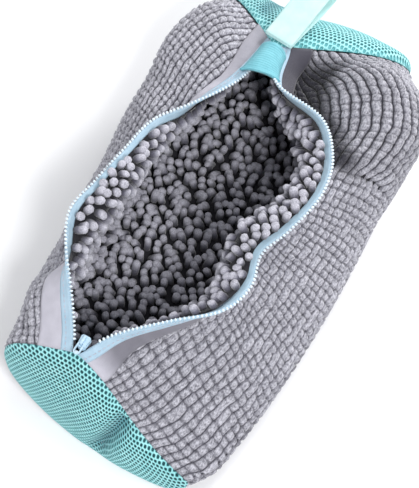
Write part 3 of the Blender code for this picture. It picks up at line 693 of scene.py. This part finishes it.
def fold_field(side, station, share):
    """Slouch of the cloth along its normal, by station and share of the wall from side seam to facing."""
    s, t = np.broadcast_arrays(station, share)
    (a, b), (c, d) = SLOUCH_WAVES
    fold = SLOUCH * np.sin(a * s + b * t) * np.sin(d * t + c * s)
    if side == "right":
        bend = s - FAR_FOLD_STATION - FAR_FOLD_SLANT * t
        valley = hump(bend, FAR_FOLD_WIDTH) * window(t, *FAR_FOLD_SHARES)
        ridge = hump(bend - FAR_RIDGE_SHIFT, FAR_RIDGE_WIDTH) * rise(t, *FAR_RIDGE_SHARES)
        gathers = np.sin(GATHER_WAVES[1] * t + GATHER_WAVES[0] * s) * np.exp(-s / GATHER_FADE)
        gathers = gathers * rise(t, *GATHER_SHARES)
        fold = fold - FAR_FOLD_DEPTH * valley + FAR_RIDGE_RISE * ridge + GATHER_DEPTH * gathers
    if side == "left":
        middles = [middle + LEFT_CREASE_SLANT * s for middle in LEFT_CREASES]
        creases = sum(hump(t - middle, LEFT_CREASE_WIDTH) for middle in middles)
        fold = fold - LEFT_CREASE_DEPTH * creases * rise(s, *LEFT_CREASE_STATIONS)
    return fold * window(t, *SLOUCH_SHARES) * window(s, *SLOUCH_STATIONS)


def tuft_cuts(rows, run):
    """How open the pile is along each row, 0 in a cut and 1 away from it, and each tuft's tint."""
    count = int(run[-1] / TUFT_LENGTH) + 2
    opened = np.zeros((len(run), rows))
    tint = np.zeros((len(run), rows))
    drift = 0.0
    for k in range(rows):
        drift += RNG.uniform(-TUFT_STAGGER, TUFT_STAGGER)
        places = np.arange(count) * TUFT_LENGTH + drift + RNG.uniform(-TUFT_STAGGER, TUFT_STAGGER, count)
        places = places[RNG.uniform(size=count) > CUTS_MISSED]
        gap = np.abs(run[:, None] - places[None, :]).min(axis=1)
        opened[:, k] = smooth(gap / CUT_WIDTH) ** CUT_SOFTNESS
        tint[:, k] = RNG.uniform(size=count + 1)[np.searchsorted(places, run)]
    return opened, tint


def row_wander(count, run):
    """How far each line between rows strays from its place along the run."""
    waves = 2 * np.pi / np.array(ROW_WANDER_WAVES)
    phases = RNG.uniform(0.0, 2 * np.pi, (count, len(waves)))
    strays = np.sin(run[:, None, None] * waves + phases).mean(axis=2) * ROW_WANDER
    strays[:, 0] = 0.0
    return strays


def painted_shade_field(side, stations, from_facing):
    """How deep in shade the pile lies: 1 in the fold beside the far end of the zip."""
    if side != "right":
        return np.zeros_like(from_facing)
    fold = rise(from_facing, *FOLD_SHADE_REACH) * window(stations, *FOLD_SHADE_STATIONS)[:, None]
    beyond = FAR_SHADE * rise(stations, *BEYOND_FOLD)[:, None]
    return np.maximum(fold, beyond)


def tufted(side, seam_rows, section_of):
    """A panel of tufted pile whose rows run lengthwise, counted from one edge of the panel.

    section_of gives the panel's points at a station, from the edge that the rows follow to the other.
    """
    stations, run = stations_by_length(seam_rows, PILE_STEP[side])
    sections = [section_of(s) for s in stations]
    lengths = [arc_lengths(section) for section in sections]
    ends = np.array([length[-1] for length in lengths])[:, None]
    pitch = table_at(ROW_PITCH[side], stations)[:, None]
    rows = int(math.ceil((ends / pitch).max()))
    across, heights = np.array(TUFT_PROFILE).T
    profile = np.tile(heights, rows)
    across = np.tile(across, rows)
    row_of = np.repeat(np.arange(rows), len(TUFT_PROFILE))
    wander = row_wander(rows + 1, run)
    wander = wander[:, row_of] * (1 - across) + wander[:, row_of + 1] * across
    offsets = np.clip((row_of + across) * pitch + wander, 0.0, ends)
    points = np.array([read_along(*read) for read in zip(sections, lengths, offsets)])
    normals = panel_normals(sections, lengths, offsets)
    opened, tint = (values[:, row_of] for values in tuft_cuts(rows, run))
    depth = blend(CUT_DEPTH[side], rise(stations, *CUT_STATIONS))[:, None]
    tuft = profile[None, :] * (1.0 - depth * CUT_SHARE * (1.0 - opened)) * (1.0 - TUFT_UNEVEN * depth * tint)
    sides_in = smooth(np.minimum(offsets, ends - offsets) / EDGE_ROLL_WIDTH)
    ends_in = smooth(np.minimum(run, run[-1] - run) / EDGE_ROLL_WIDTH)[:, None]
    tuft = tuft * blend((SIDE_PILE, 1.0), sides_in) * blend((END_PILE, 1.0), ends_in)
    lift = TUFT_RISE * (tuft - TUFT_SUNK) - SIDE_ROLL * (1 - sides_in) - END_ROLL * (1 - ends_in)
    lift = lift + RNG.normal(0.0, PILE_ROUGHNESS, lift.shape) * sides_in * ends_in
    if side == "bottom":
        lift = np.minimum(lift, 0.0)
    else:
        lift = lift + fold_field(side, stations[:, None], offsets / ends)
    points = points + normals * lift[:, :, None]
    points[:, :, 2] = np.maximum(points[:, :, 2], 0.0)
    # Painted shade in the cuts, between the rows and in the far right fold; the tint is the tufts' own uneven
    # dye
    groove = blend(GROOVE_SHADE[side], rise(stations, *GROOVE_STATIONS[side]))[:, None]
    shade = {
        "tuft": 1.0 - groove * (1.0 - tuft),
        "tint": tint,
        "painted_shade": painted_shade_field(side, stations, ends - offsets),
    }
    add_piece(f"chenille_{side}", points, grid_quads(*points.shape[:2]), CHENILLE,
              replaces=(f"outer_{side}_panel",), slot="chenille", attributes=shade)


def panel_normals(sections, lengths, offsets):
    """Outward normals at the panel's columns, from even shares so that clipped columns stay sound."""
    shares = np.linspace(0.0, 1.0, NORMAL_SHARES)
    even = np.array([read_along(p, n, shares * n[-1]) for p, n in zip(sections, lengths)])
    rows = zip(outward_normals(even), lengths, offsets)
    return np.array([unit(read_along(row, shares, places / length[-1])) for row, length, places in rows])


def wall_panel(side):
    """Wall points from the side seam up to the facing's edge."""
    def section_of(station):
        points = wall_section(side, station)
        lengths = arc_lengths(points)
        edge = table_at(FACING_SHOWS[side], station)
        return read_along(points, lengths, np.linspace(lengths[-1], edge, PANEL_POINTS))
    return section_of


def build_shell():
    for side in ("left", "right"):
        tufted(side, SIDE_SEAM[side], wall_panel(side))
    tufted("bottom", SIDE_SEAM["right"], floor_section)


# Lining and noodles

def lining_sheet(side):
    """Inner face of the shell on one side, as points and normals that point into the bag."""
    rows = SIDE_SEAM["left" if side == "left" else "right"]
    stations, _ = stations_by_length(rows, LINING_STEP)
    start = 0.0 if side == "bottom" else LINING_START
    points = []
    for station in stations:
        section = floor_section(station) if side == "bottom" else wall_section(side, station)
        lengths = arc_lengths(section)
        points.append(read_along(section, lengths, np.linspace(start, lengths[-1], LINING_COLUMNS)))
    points = np.array(points)
    return points, -outward_normals(points)


def capsule(base, axis, bend, radius, length):
    """Rings of a bent round-ended finger from its base out to its tip."""
    side = unit(np.cross(axis, ODD_DIRECTION))
    other = np.cross(axis, side)
    angles = np.linspace(0.0, 2 * np.pi, NOODLE_SIDES, endpoint=False)
    circle = np.cos(angles)[:, None] * side + np.sin(angles)[:, None] * other
    rings = []
    for t, width in NOODLE_RINGS:
        centre = base + axis * length * t + bend * length * t * t
        rings.append(centre + circle * radius * width)
    return np.array(rings)


def read_grid(grid, row, column):
    r, c = int(row), int(min(column, grid.shape[1] - LAST_CELL))
    fr, fc = row - r, column - c
    top = grid[r, c] * (1 - fc) + grid[r, c + 1] * fc
    low = grid[r + 1, c] * (1 - fc) + grid[r + 1, c + 1] * fc
    return top * (1 - fr) + low * fr


def noodle_fingers(side, sheet, normals):
    """Fingers in staggered lines over a sheet, each swayed, bent and drooping a little."""
    along = arc_lengths(sheet[:, sheet.shape[1] // 2])
    tips = sheet + normals * NOODLE_LENGTH[0]
    across = np.array([min(arc_lengths(row)[-1], arc_lengths(tip)[-1]) for row, tip in zip(sheet, tips)])
    lines = int(along[-1] / NOODLE_LINES)
    fingers = []
    for i in range(1, lines):
        a = along[-1] * i / lines
        r = np.interp(a, along, np.arange(len(along)))
        width = np.interp(a, along, across)
        number = max(2, int(width / NOODLE_SPACING))
        for j in range(number):
            place = j + NOODLE_START + NOODLE_STAGGER * (i % 2)
            b = (place + RNG.uniform(-NOODLE_JITTER, NOODLE_JITTER)) / number
            stray = RNG.uniform(-NOODLE_LINE_JITTER, NOODLE_LINE_JITTER)
            row = np.clip(r + stray, 0, len(along) - LAST_CELL)
            column = np.clip(b, *NOODLE_SHARES) * (sheet.shape[1] - 1)
            base = read_grid(sheet, row, column)
            normal = unit(read_grid(normals, row, column))
            upright = UP * (1 - abs(normal[2]))
            sway = RNG.normal(0.0, NOODLE_SWAY, 3)
            axis = unit(normal + sway - normal * np.dot(sway, normal) - upright * NOODLE_LEAN)
            bend = RNG.normal(0.0, NOODLE_BEND, 3) - upright * NOODLE_DROOP
            if base[2] + axis[2] * NOODLE_TESTED < NOODLE_LOWEST:
                continue
            radius = RNG.uniform(*NOODLE_RADIUS)
            length = RNG.uniform(*NOODLE_LENGTH)
            if side != "bottom":
                length *= blend((NOODLE_LIP_SHARE, 1.0), smooth(b * width / NOODLE_LIP_REACH))
            fingers.append(capsule(base - normal * NOODLE_ROOT, axis, bend, radius, length))
    return fingers


def noodles(side):
    """A dense field of chenille fingers on one lining panel, with the sheet that they grow from."""
    points, normals = lining_sheet(side)
    depth = np.full(points.shape[:2], LINING_DEPTH)
    if side != "bottom":
        from_tape = np.array([arc_lengths(row) for row in points])
        depth = blend((LINING_EDGE, LINING_DEPTH), smooth(from_tape / LINING_SWELL))
    sheet = points + normals * depth[:, :, None]
    verts = [sheet.reshape(-1, 3)]
    # The sheet sits at the noodles' roots, so it takes the darkest painted shade
    reach = [np.zeros(len(verts[0]))]
    faces = grid_quads(*sheet.shape[:2]).tolist()
    count = len(verts[0])
    for finger in noodle_fingers(side, sheet, normals):
        verts.append(finger.reshape(-1, 3))
        reach.append(np.repeat([t for t, _ in NOODLE_RINGS], NOODLE_SIDES))
        faces += tube_faces(len(NOODLE_RINGS), NOODLE_SIDES, count, ends=1)
        count += len(verts[-1])
    add_piece(f"noodles_{side}", np.concatenate(verts), faces, NOODLE, replaces=(f"lining_{side}",),
              slot="noodles", attributes={"reach": np.concatenate(reach)})


def build_lining():
    for side in ("left", "right", "bottom"):
        noodles(side)


# Mesh ends

def end_patch(station, bulge, fade, direction, crease):
    """Two functions of (share along, share down) on a domed end panel.

    The first gives its points, and the second how deep in its crease they lie.
    """
    top = np.concatenate([wall_section("left", station)[::-1], wall_section("right", station)])
    floor = floor_section(station)
    top_length = arc_lengths(top)
    floor_length = arc_lengths(floor)
    outward = unit(np.array(direction))
    start, shift, width, depth = crease

    def valley(q, w):
        return hump(q - start - shift * w, width) * window(w, *VALLEY_WINDOW)

    def place(q, w, lift=0.0):
        q = np.clip(q, 0.0, 1.0)
        upper = read_along(top, top_length, q * top_length[-1])
        lower = read_along(floor, floor_length, q * floor_length[-1])
        dome = (4 * w * (1 - w)) ** MESH_FULLNESS * np.sin(np.pi * q) ** fade
        loft = lift * smooth(MESH_LOFT_DOWN * w * (1 - w)) * smooth(MESH_LOFT_ALONG * q * (1 - q))
        out = dome * bulge - depth * valley(q, w) + loft
        return upper * (1 - w)[..., None] + lower * w[..., None] + out[..., None] * outward

    return place, valley


def hole_cells(rows, columns):
    """Staggered square cells with an eight-sided hole in each, in units of the hole pitch."""
    sides = len(CELL_RIM)
    rim = np.array(CELL_RIM, dtype=float)
    spokes = rim - 0.5
    reach = HOLE_RADIUS / HOLE_PITCH / np.hypot(spokes[:, 0], spokes[:, 1])
    hole = 0.5 + spokes * reach[:, None] * np.array([1.0, HOLE_STRETCH])
    verts = []
    faces = []
    for i in range(rows):
        for j in range(-1, columns + 1):
            faces += tube_faces(2, sides, len(verts) * 2 * sides, ends=0)
            verts.append(np.concatenate([rim, hole]) + np.array([j + 0.5 * (i % 2), i]))
    return np.concatenate(verts), faces


def air_mesh(end, place, valley):
    """Spacer fabric: a knit skin with staggered round holes over a darker backing, with painted shade on
    both.
    """
    name = f"air_mesh_{end}"
    shares = np.linspace(0, 1, MESH_SAMPLES_ALONG)
    down_shares = np.linspace(0, 1, MESH_SAMPLES_DOWN)
    run = arc_lengths(place(shares, np.full(len(shares), 0.5)))
    heights = np.array([arc_lengths(place(np.full(len(down_shares), q), down_shares))[-1] for q in shares])
    flat, faces = hole_cells(int(heights.max() / HOLE_ROW_PITCH) + 1, int(run[-1] / HOLE_PITCH))
    q = np.interp(np.clip(flat[:, 0] * HOLE_PITCH, 0.0, run[-1]), run, shares)
    height = np.maximum(np.interp(q, shares, heights), MESH_SHALLOWEST)
    down = (flat[:, 1] * HOLE_ROW_PITCH - heights.max() / 2) / height + 0.5
    clipped = np.clip(down, 0.0, 1.0)
    kept = [f for f in faces if np.ptp(clipped[f]) * height[f[0]] > MESH_SLIVER]
    sides = len(CELL_RIM)
    # Painted shade on the knit: the rim of each cell is 1 and the hole's edge 0, and the crease's depth
    # darkens it further
    thread = np.tile(np.repeat([1.0, 0.0], sides), len(flat) // (2 * sides))
    skin = add_piece(name, place(q, clipped, MESH_LOFT), kept, AIR_MESH, replaces=(f"{end}_mesh_panel",),
                     slot="air_mesh", attributes={"thread": thread, "painted_shade": valley(q, clipped)})
    solid = skin.modifiers.new("knit_thickness", "SOLIDIFY")
    solid.thickness = MESH_SKIN
    solid.offset = 0.0
    along = np.linspace(BACKING_MARGIN, 1 - BACKING_MARGIN, BACKING_ALONG)
    across, along = np.meshgrid(np.linspace(0, 1, BACKING_DOWN), along)
    backing = place(along.ravel(), across.ravel(), -MESH_SKIN)
    add_piece(f"{name}_backing", backing, grid_quads(*along.shape), MESH_BACK[end], slot="air_mesh")


def build_ends():
    for end, facts in MESH_ENDS.items():
        air_mesh(end, *end_patch(*facts))


# Zip and facing

def collar_band(side, distances_at, step=COLLAR_STEP, span=(0.0, 1.0)):
    """Points at some distances from the lip, given for each station, with outward normals."""
    stations, _ = stations_by_length(LIP[side], step)
    stations = stations[(stations >= span[0]) & (stations <= span[1])]
    points = np.array([read_wall(side, station, distances_at(station)) for station in stations])
    normals = grid_normals(points)
    return points, -normals if side == "left" else normals


def facing_shade(side):
    """Shade of the facing: deep in the far fold, less at the far left and on the near right leaf."""
    stations, _ = stations_by_length(LIP[side], COLLAR_STEP)
    if side == "left":
        shade = FAR_LEFT_SHADE * rise(stations, *FAR_LEFT_STATIONS)
    else:
        leaf = LEAF_SHADE * window(stations, *LEAF_STATIONS)
        shade = np.maximum(leaf, rise(stations, *FOLD_STATIONS[:2]))
    return np.repeat(shade[:, None], 2 * FACING_COLUMNS, axis=1)


def thick_band(name, points, normals, outer, inner, material, **facts):
    """A band with real thickness: outer and inner sheets joined round the rim."""
    top = points + normals * outer
    under = points - normals * inner
    rings = np.concatenate([top, under[:, ::-1]], axis=1)
    add_piece(name, rings, tube_faces(*rings.shape[:2]), material, **facts)


def tooth_block():
    """One moulded tooth: a small bar with rounded edges."""
    bm = bmesh.new()
    bmesh.ops.create_cube(bm, size=1.0, matrix=Matrix.Diagonal((*TOOTH_SIZE, 1.0)))
    bmesh.ops.bevel(bm, geom=bm.edges[:], offset=TOOTH_EASE, segments=2, affect="EDGES")
    bm.verts.ensure_lookup_table()
    verts = np.array([v.co[:] for v in bm.verts])
    faces = [[v.index for v in f.verts] for f in bm.faces]
    bm.free()
    return verts, faces


def teeth(side):
    """A row of separate teeth moulded on the cord at the tape's edge."""
    points, _ = collar_band(side, lambda station: LIP_PROBE, LIP_STEP, TEETH_SPAN)
    lip = points[:, 0]
    along = unit(np.gradient(lip, axis=0))
    inward = unit(lip - points[:, 1])
    lengths = arc_lengths(lip)
    block, block_faces = tooth_block()
    verts = []
    faces = []
    for k in range(int(lengths[-1] / TOOTH_PITCH)):
        wanted = (k + 0.5) * TOOTH_PITCH
        centre = read_along(lip, lengths, wanted)
        x = unit(read_along(inward, lengths, wanted))
        y = unit(read_along(along, lengths, wanted))
        z = unit(np.cross(x, y))
        y = np.cross(z, x)
        start = len(verts) * len(block)
        verts.append(centre + x * TOOTH_OVERHANG + block[:, :1] * x + block[:, 1:2] * y + block[:, 2:] * z)
        faces += [[start + v for v in f] for f in block_faces]
    add_piece(f"teeth_{side}", np.concatenate(verts), faces, TEETH,
              replaces=(f"{side}_zip_teeth",), slot="zip_teeth")


def stitch_row(name, side, distance_at, lift):
    """A run of short raised stitches along the collar, at a distance from the lip given for each station.

    A negative lift lays them on the inner face.
    """
    points, normals = collar_band(side, lambda station: distance_at(station) + LIP_PROBE[:2], LIP_STEP)
    line = points[:, 0] + normals[:, 0] * lift
    off = normals[:, 0] * np.sign(lift)
    lengths = arc_lengths(line)
    angles = np.linspace(0, 2 * np.pi, STITCH_SIDES, endpoint=False)
    verts = []
    faces = []
    for k in range(int(lengths[-1] / STITCH_PITCH)):
        stops = k * STITCH_PITCH + np.linspace(0, STITCH_LENGTH, len(STITCH_WIDTHS))
        centres = read_along(line, lengths, stops)
        outs = unit(read_along(off, lengths, stops))
        runs = unit(np.gradient(centres, axis=0))
        sides = unit(np.cross(outs, runs))
        faces += tube_faces(len(STITCH_WIDTHS), STITCH_SIDES, len(verts))
        for centre, out, across, width in zip(centres, outs, sides, STITCH_WIDTHS):
            for angle in angles:
                spoke = across * math.cos(angle) + out * math.sin(angle) * STITCH_FLATNESS
                verts.append(centre + spoke * STITCH_RADIUS * width)
    add_piece(name, verts, faces, THREAD, slot="facing")


def collar_side(side):
    """Tape, facing, teeth and stitches along one lip."""
    def edge(station):
        return table_at(FACING_SHOWS[side], station)

    points, normals = collar_band(side, lambda station: np.linspace(TAPE_START, TAPE_WIDTH, len(TAPE_CORD)))
    cord = np.array(TAPE_CORD)[None, :, None]
    under = TAPE_THICKNESS + cord * TAPE_CORD_UNDER
    thick_band(f"tape_{side}", points, normals, TAPE_FACE + cord, under, TAPE,
               replaces=(f"{side}_zip_tape",), slot="zip_tape")
    points, normals = collar_band(side, lambda station: np.linspace(
        TAPE_WIDTH - FACING_LAP, edge(station) + FACING_TUCK, FACING_COLUMNS))
    swell = FACING_SWELL * np.sin(np.linspace(0, np.pi, FACING_COLUMNS)) ** FACING_FULLNESS
    thick_band(f"facing_{side}", points, normals, FACING_FACE + swell[None, :, None], FACING_UNDER, FACING,
               slot="facing", replaces=(f"{side}_zip_facing",), attributes={"painted_shade": facing_shade(side)})
    teeth(side)
    stitch_row(f"facing_stitches_{side}", side, lambda station: FACING_SEAM, STITCH_LIFT)
    stitch_row(f"hem_stitches_{side}", side, lambda station: edge(station) - HEM_MARGIN, STITCH_LIFT)
    stitch_row(f"tape_stitches_{side}", side, lambda station: TAPE_SEAM, -TAPE_STITCH_LIFT)


def build_collar():
    for side in ("left", "right"):
        collar_side(side)


def dress_slider():
    """The slider, its pull and the stops keep their solids, with paint and some eased edges."""
    for name, (finish, ease) in DRESSED.items():
        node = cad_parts[name]
        node.data.materials.clear()
        node.data.materials.append(finish)
        if ease:
            bevel = node.modifiers.new("eased_edges", "BEVEL")
            bevel.width = ease
            bevel.segments = 2


# Keeper and hang loop

def build_keeper():
    """Ribbed elastic arched over the far end of the zip, with its sides down on the tapes."""
    across = np.linspace(0.0, 1.0, KEEPER_POINTS)[:, None]
    arch = np.sin(np.pi * across) ** KEEPER_FULLNESS
    lift = unit(KEEPER_RISE) * (KEEPER_ARCH * arch + KEEPER_LIFT)
    rows = []
    for station in np.linspace(*KEEPER_SPAN, KEEPER_POINTS):
        left, right = (read_wall(side, station, KEEPER_FOOT) for side in ("left", "right"))
        back = (station - KEEPER_SPAN[0]) / (KEEPER_SPAN[1] - KEEPER_SPAN[0])
        rows.append(left * (1 - across) + right * across + lift + KEEPER_BROW * (1 - back) * arch)
    points = np.array(rows)
    normals = grid_normals(points)
    if normals[KEEPER_POINTS // 2, KEEPER_POINTS // 2, 2] < 0:
        normals = -normals
    ribs = KEEPER_RIB * np.sin(np.linspace(0, 2 * np.pi * KEEPER_RIBS, KEEPER_POINTS))[:, None, None]
    row = np.arange(KEEPER_POINTS)
    hem = hump(row, KEEPER_HEM_ROWS) + hump(KEEPER_POINTS - 1 - row, KEEPER_HEM_ROWS)
    hem = KEEPER_HEM * hem[:, None, None]
    thick_band("elastic_keeper", points, normals, KEEPER_FACE + ribs + hem, KEEPER_UNDER + hem, ELASTIC,
               replaces=("zip_keeper",), slot="elastic")


def build_loop():
    """Folded webbing with thinner edges, sewn flat at its root."""
    root = (guide(LIP["left"], 1.0) + guide(LIP["right"], 1.0)) / 2 + LOOP_OFFSET
    half = LOOP_HALF_GAP
    straight = LOOP_LENGTH - half
    share = np.linspace(0, 1, LOOP_POINTS)
    opening = blend((LOOP_ROOT_GAP, half), np.sin(math.pi / 2 * share) ** LOOP_SPREAD)
    upper = np.stack([share * straight, opening], axis=1)
    angle = np.linspace(math.pi / 2, -math.pi / 2, LOOP_TURN_POINTS)[1:-1]
    turn = np.stack([straight + half * np.cos(angle), half * np.sin(angle)], axis=1)
    path = np.concatenate([upper, turn, upper[::-1] * np.array([1.0, -1.0])])
    slope = unit(np.gradient(path, axis=0))
    width = np.linspace(-1.0, 1.0, LOOP_COLUMNS)
    points = np.zeros((len(path), len(width), 3))
    points[:, :, 0] = width * LOOP_WIDTH / 2
    points[:, :, 1:] = path[:, None, :]
    normals = np.zeros_like(points)
    normals[:, :, 1] = -slope[:, 1:]
    normals[:, :, 2] = slope[:, :1]
    edge = (1 - LOOP_EDGE_LOSS * rise(np.abs(width), *LOOP_EDGE))[None, :, None]
    turned = np.array(Matrix.Rotation(LOOP_YAW, 3, "Z")).T
    thick_band("webbing_loop", points @ turned + root, normals @ turned, LOOP_THICKNESS * edge, 0.0,
               WEBBING, body="loop", replaces=("hang_loop",), slot="webbing")


# Stage

def build_stage():
    floor_mesh = bpy.data.meshes.new("floor")
    corners = [(-1, -1, 0), (1, -1, 0), (1, 1, 0), (-1, 1, 0)]
    floor_mesh.from_pydata((np.array(corners) * FLOOR_HALF).tolist(), [], [[0, 1, 2, 3]])
    floor = add_object("floor", floor_mesh)
    floor.location.z = -FLOOR_DROP
    paper = bpy.data.materials.new("white_paper")
    paper.use_nodes = True
    shader = paper.node_tree.nodes["Principled BSDF"]
    shader.inputs["Base Color"].default_value = PAPER_COLOUR
    shader.inputs["Roughness"].default_value = PAPER_ROUGHNESS
    floor_mesh.materials.append(paper)


def area_light(name, place, target, size, power):
    data = bpy.data.lights.new(name, "AREA")
    data.shape = "DISK"
    data.size = size
    data.energy = power
    lamp = add_object(name, data)
    lamp.location = place
    lamp.rotation_euler = (Vector(target) - Vector(place)).to_track_quat("-Z", "Y").to_euler()


def build_light():
    world = bpy.data.worlds.new("studio")
    bpy.context.scene.world = world
    world.use_nodes = True
    background = world.node_tree.nodes["Background"]
    background.inputs["Color"].default_value = WORLD_COLOUR
    background.inputs["Strength"].default_value = WORLD_STRENGTH
    for name, facts in LIGHTS.items():
        area_light(name, *facts)


def build_camera():
    data = bpy.data.cameras.new("camera")
    data.lens = CAMERA_LENS
    data.clip_start = CAMERA_CLIP
    camera = add_object("camera", data)
    flat = math.cos(CAMERA_ELEVATION)
    across = math.sin(CAMERA_AZIMUTH) * flat
    away = -math.cos(CAMERA_AZIMUTH) * flat
    back = Vector((across, away, math.sin(CAMERA_ELEVATION)))
    camera.location = CAMERA_TARGET + back * CAMERA_DISTANCE
    camera.rotation_euler = (-back).to_track_quat("-Z", "Y").to_euler()
    bpy.context.scene.camera = camera


build_shell()
build_lining()
build_ends()
build_collar()
dress_slider()
build_keeper()
build_loop()
build_stage()
build_light()
build_camera()
bpy.context.scene.view_settings.view_transform = "Standard"
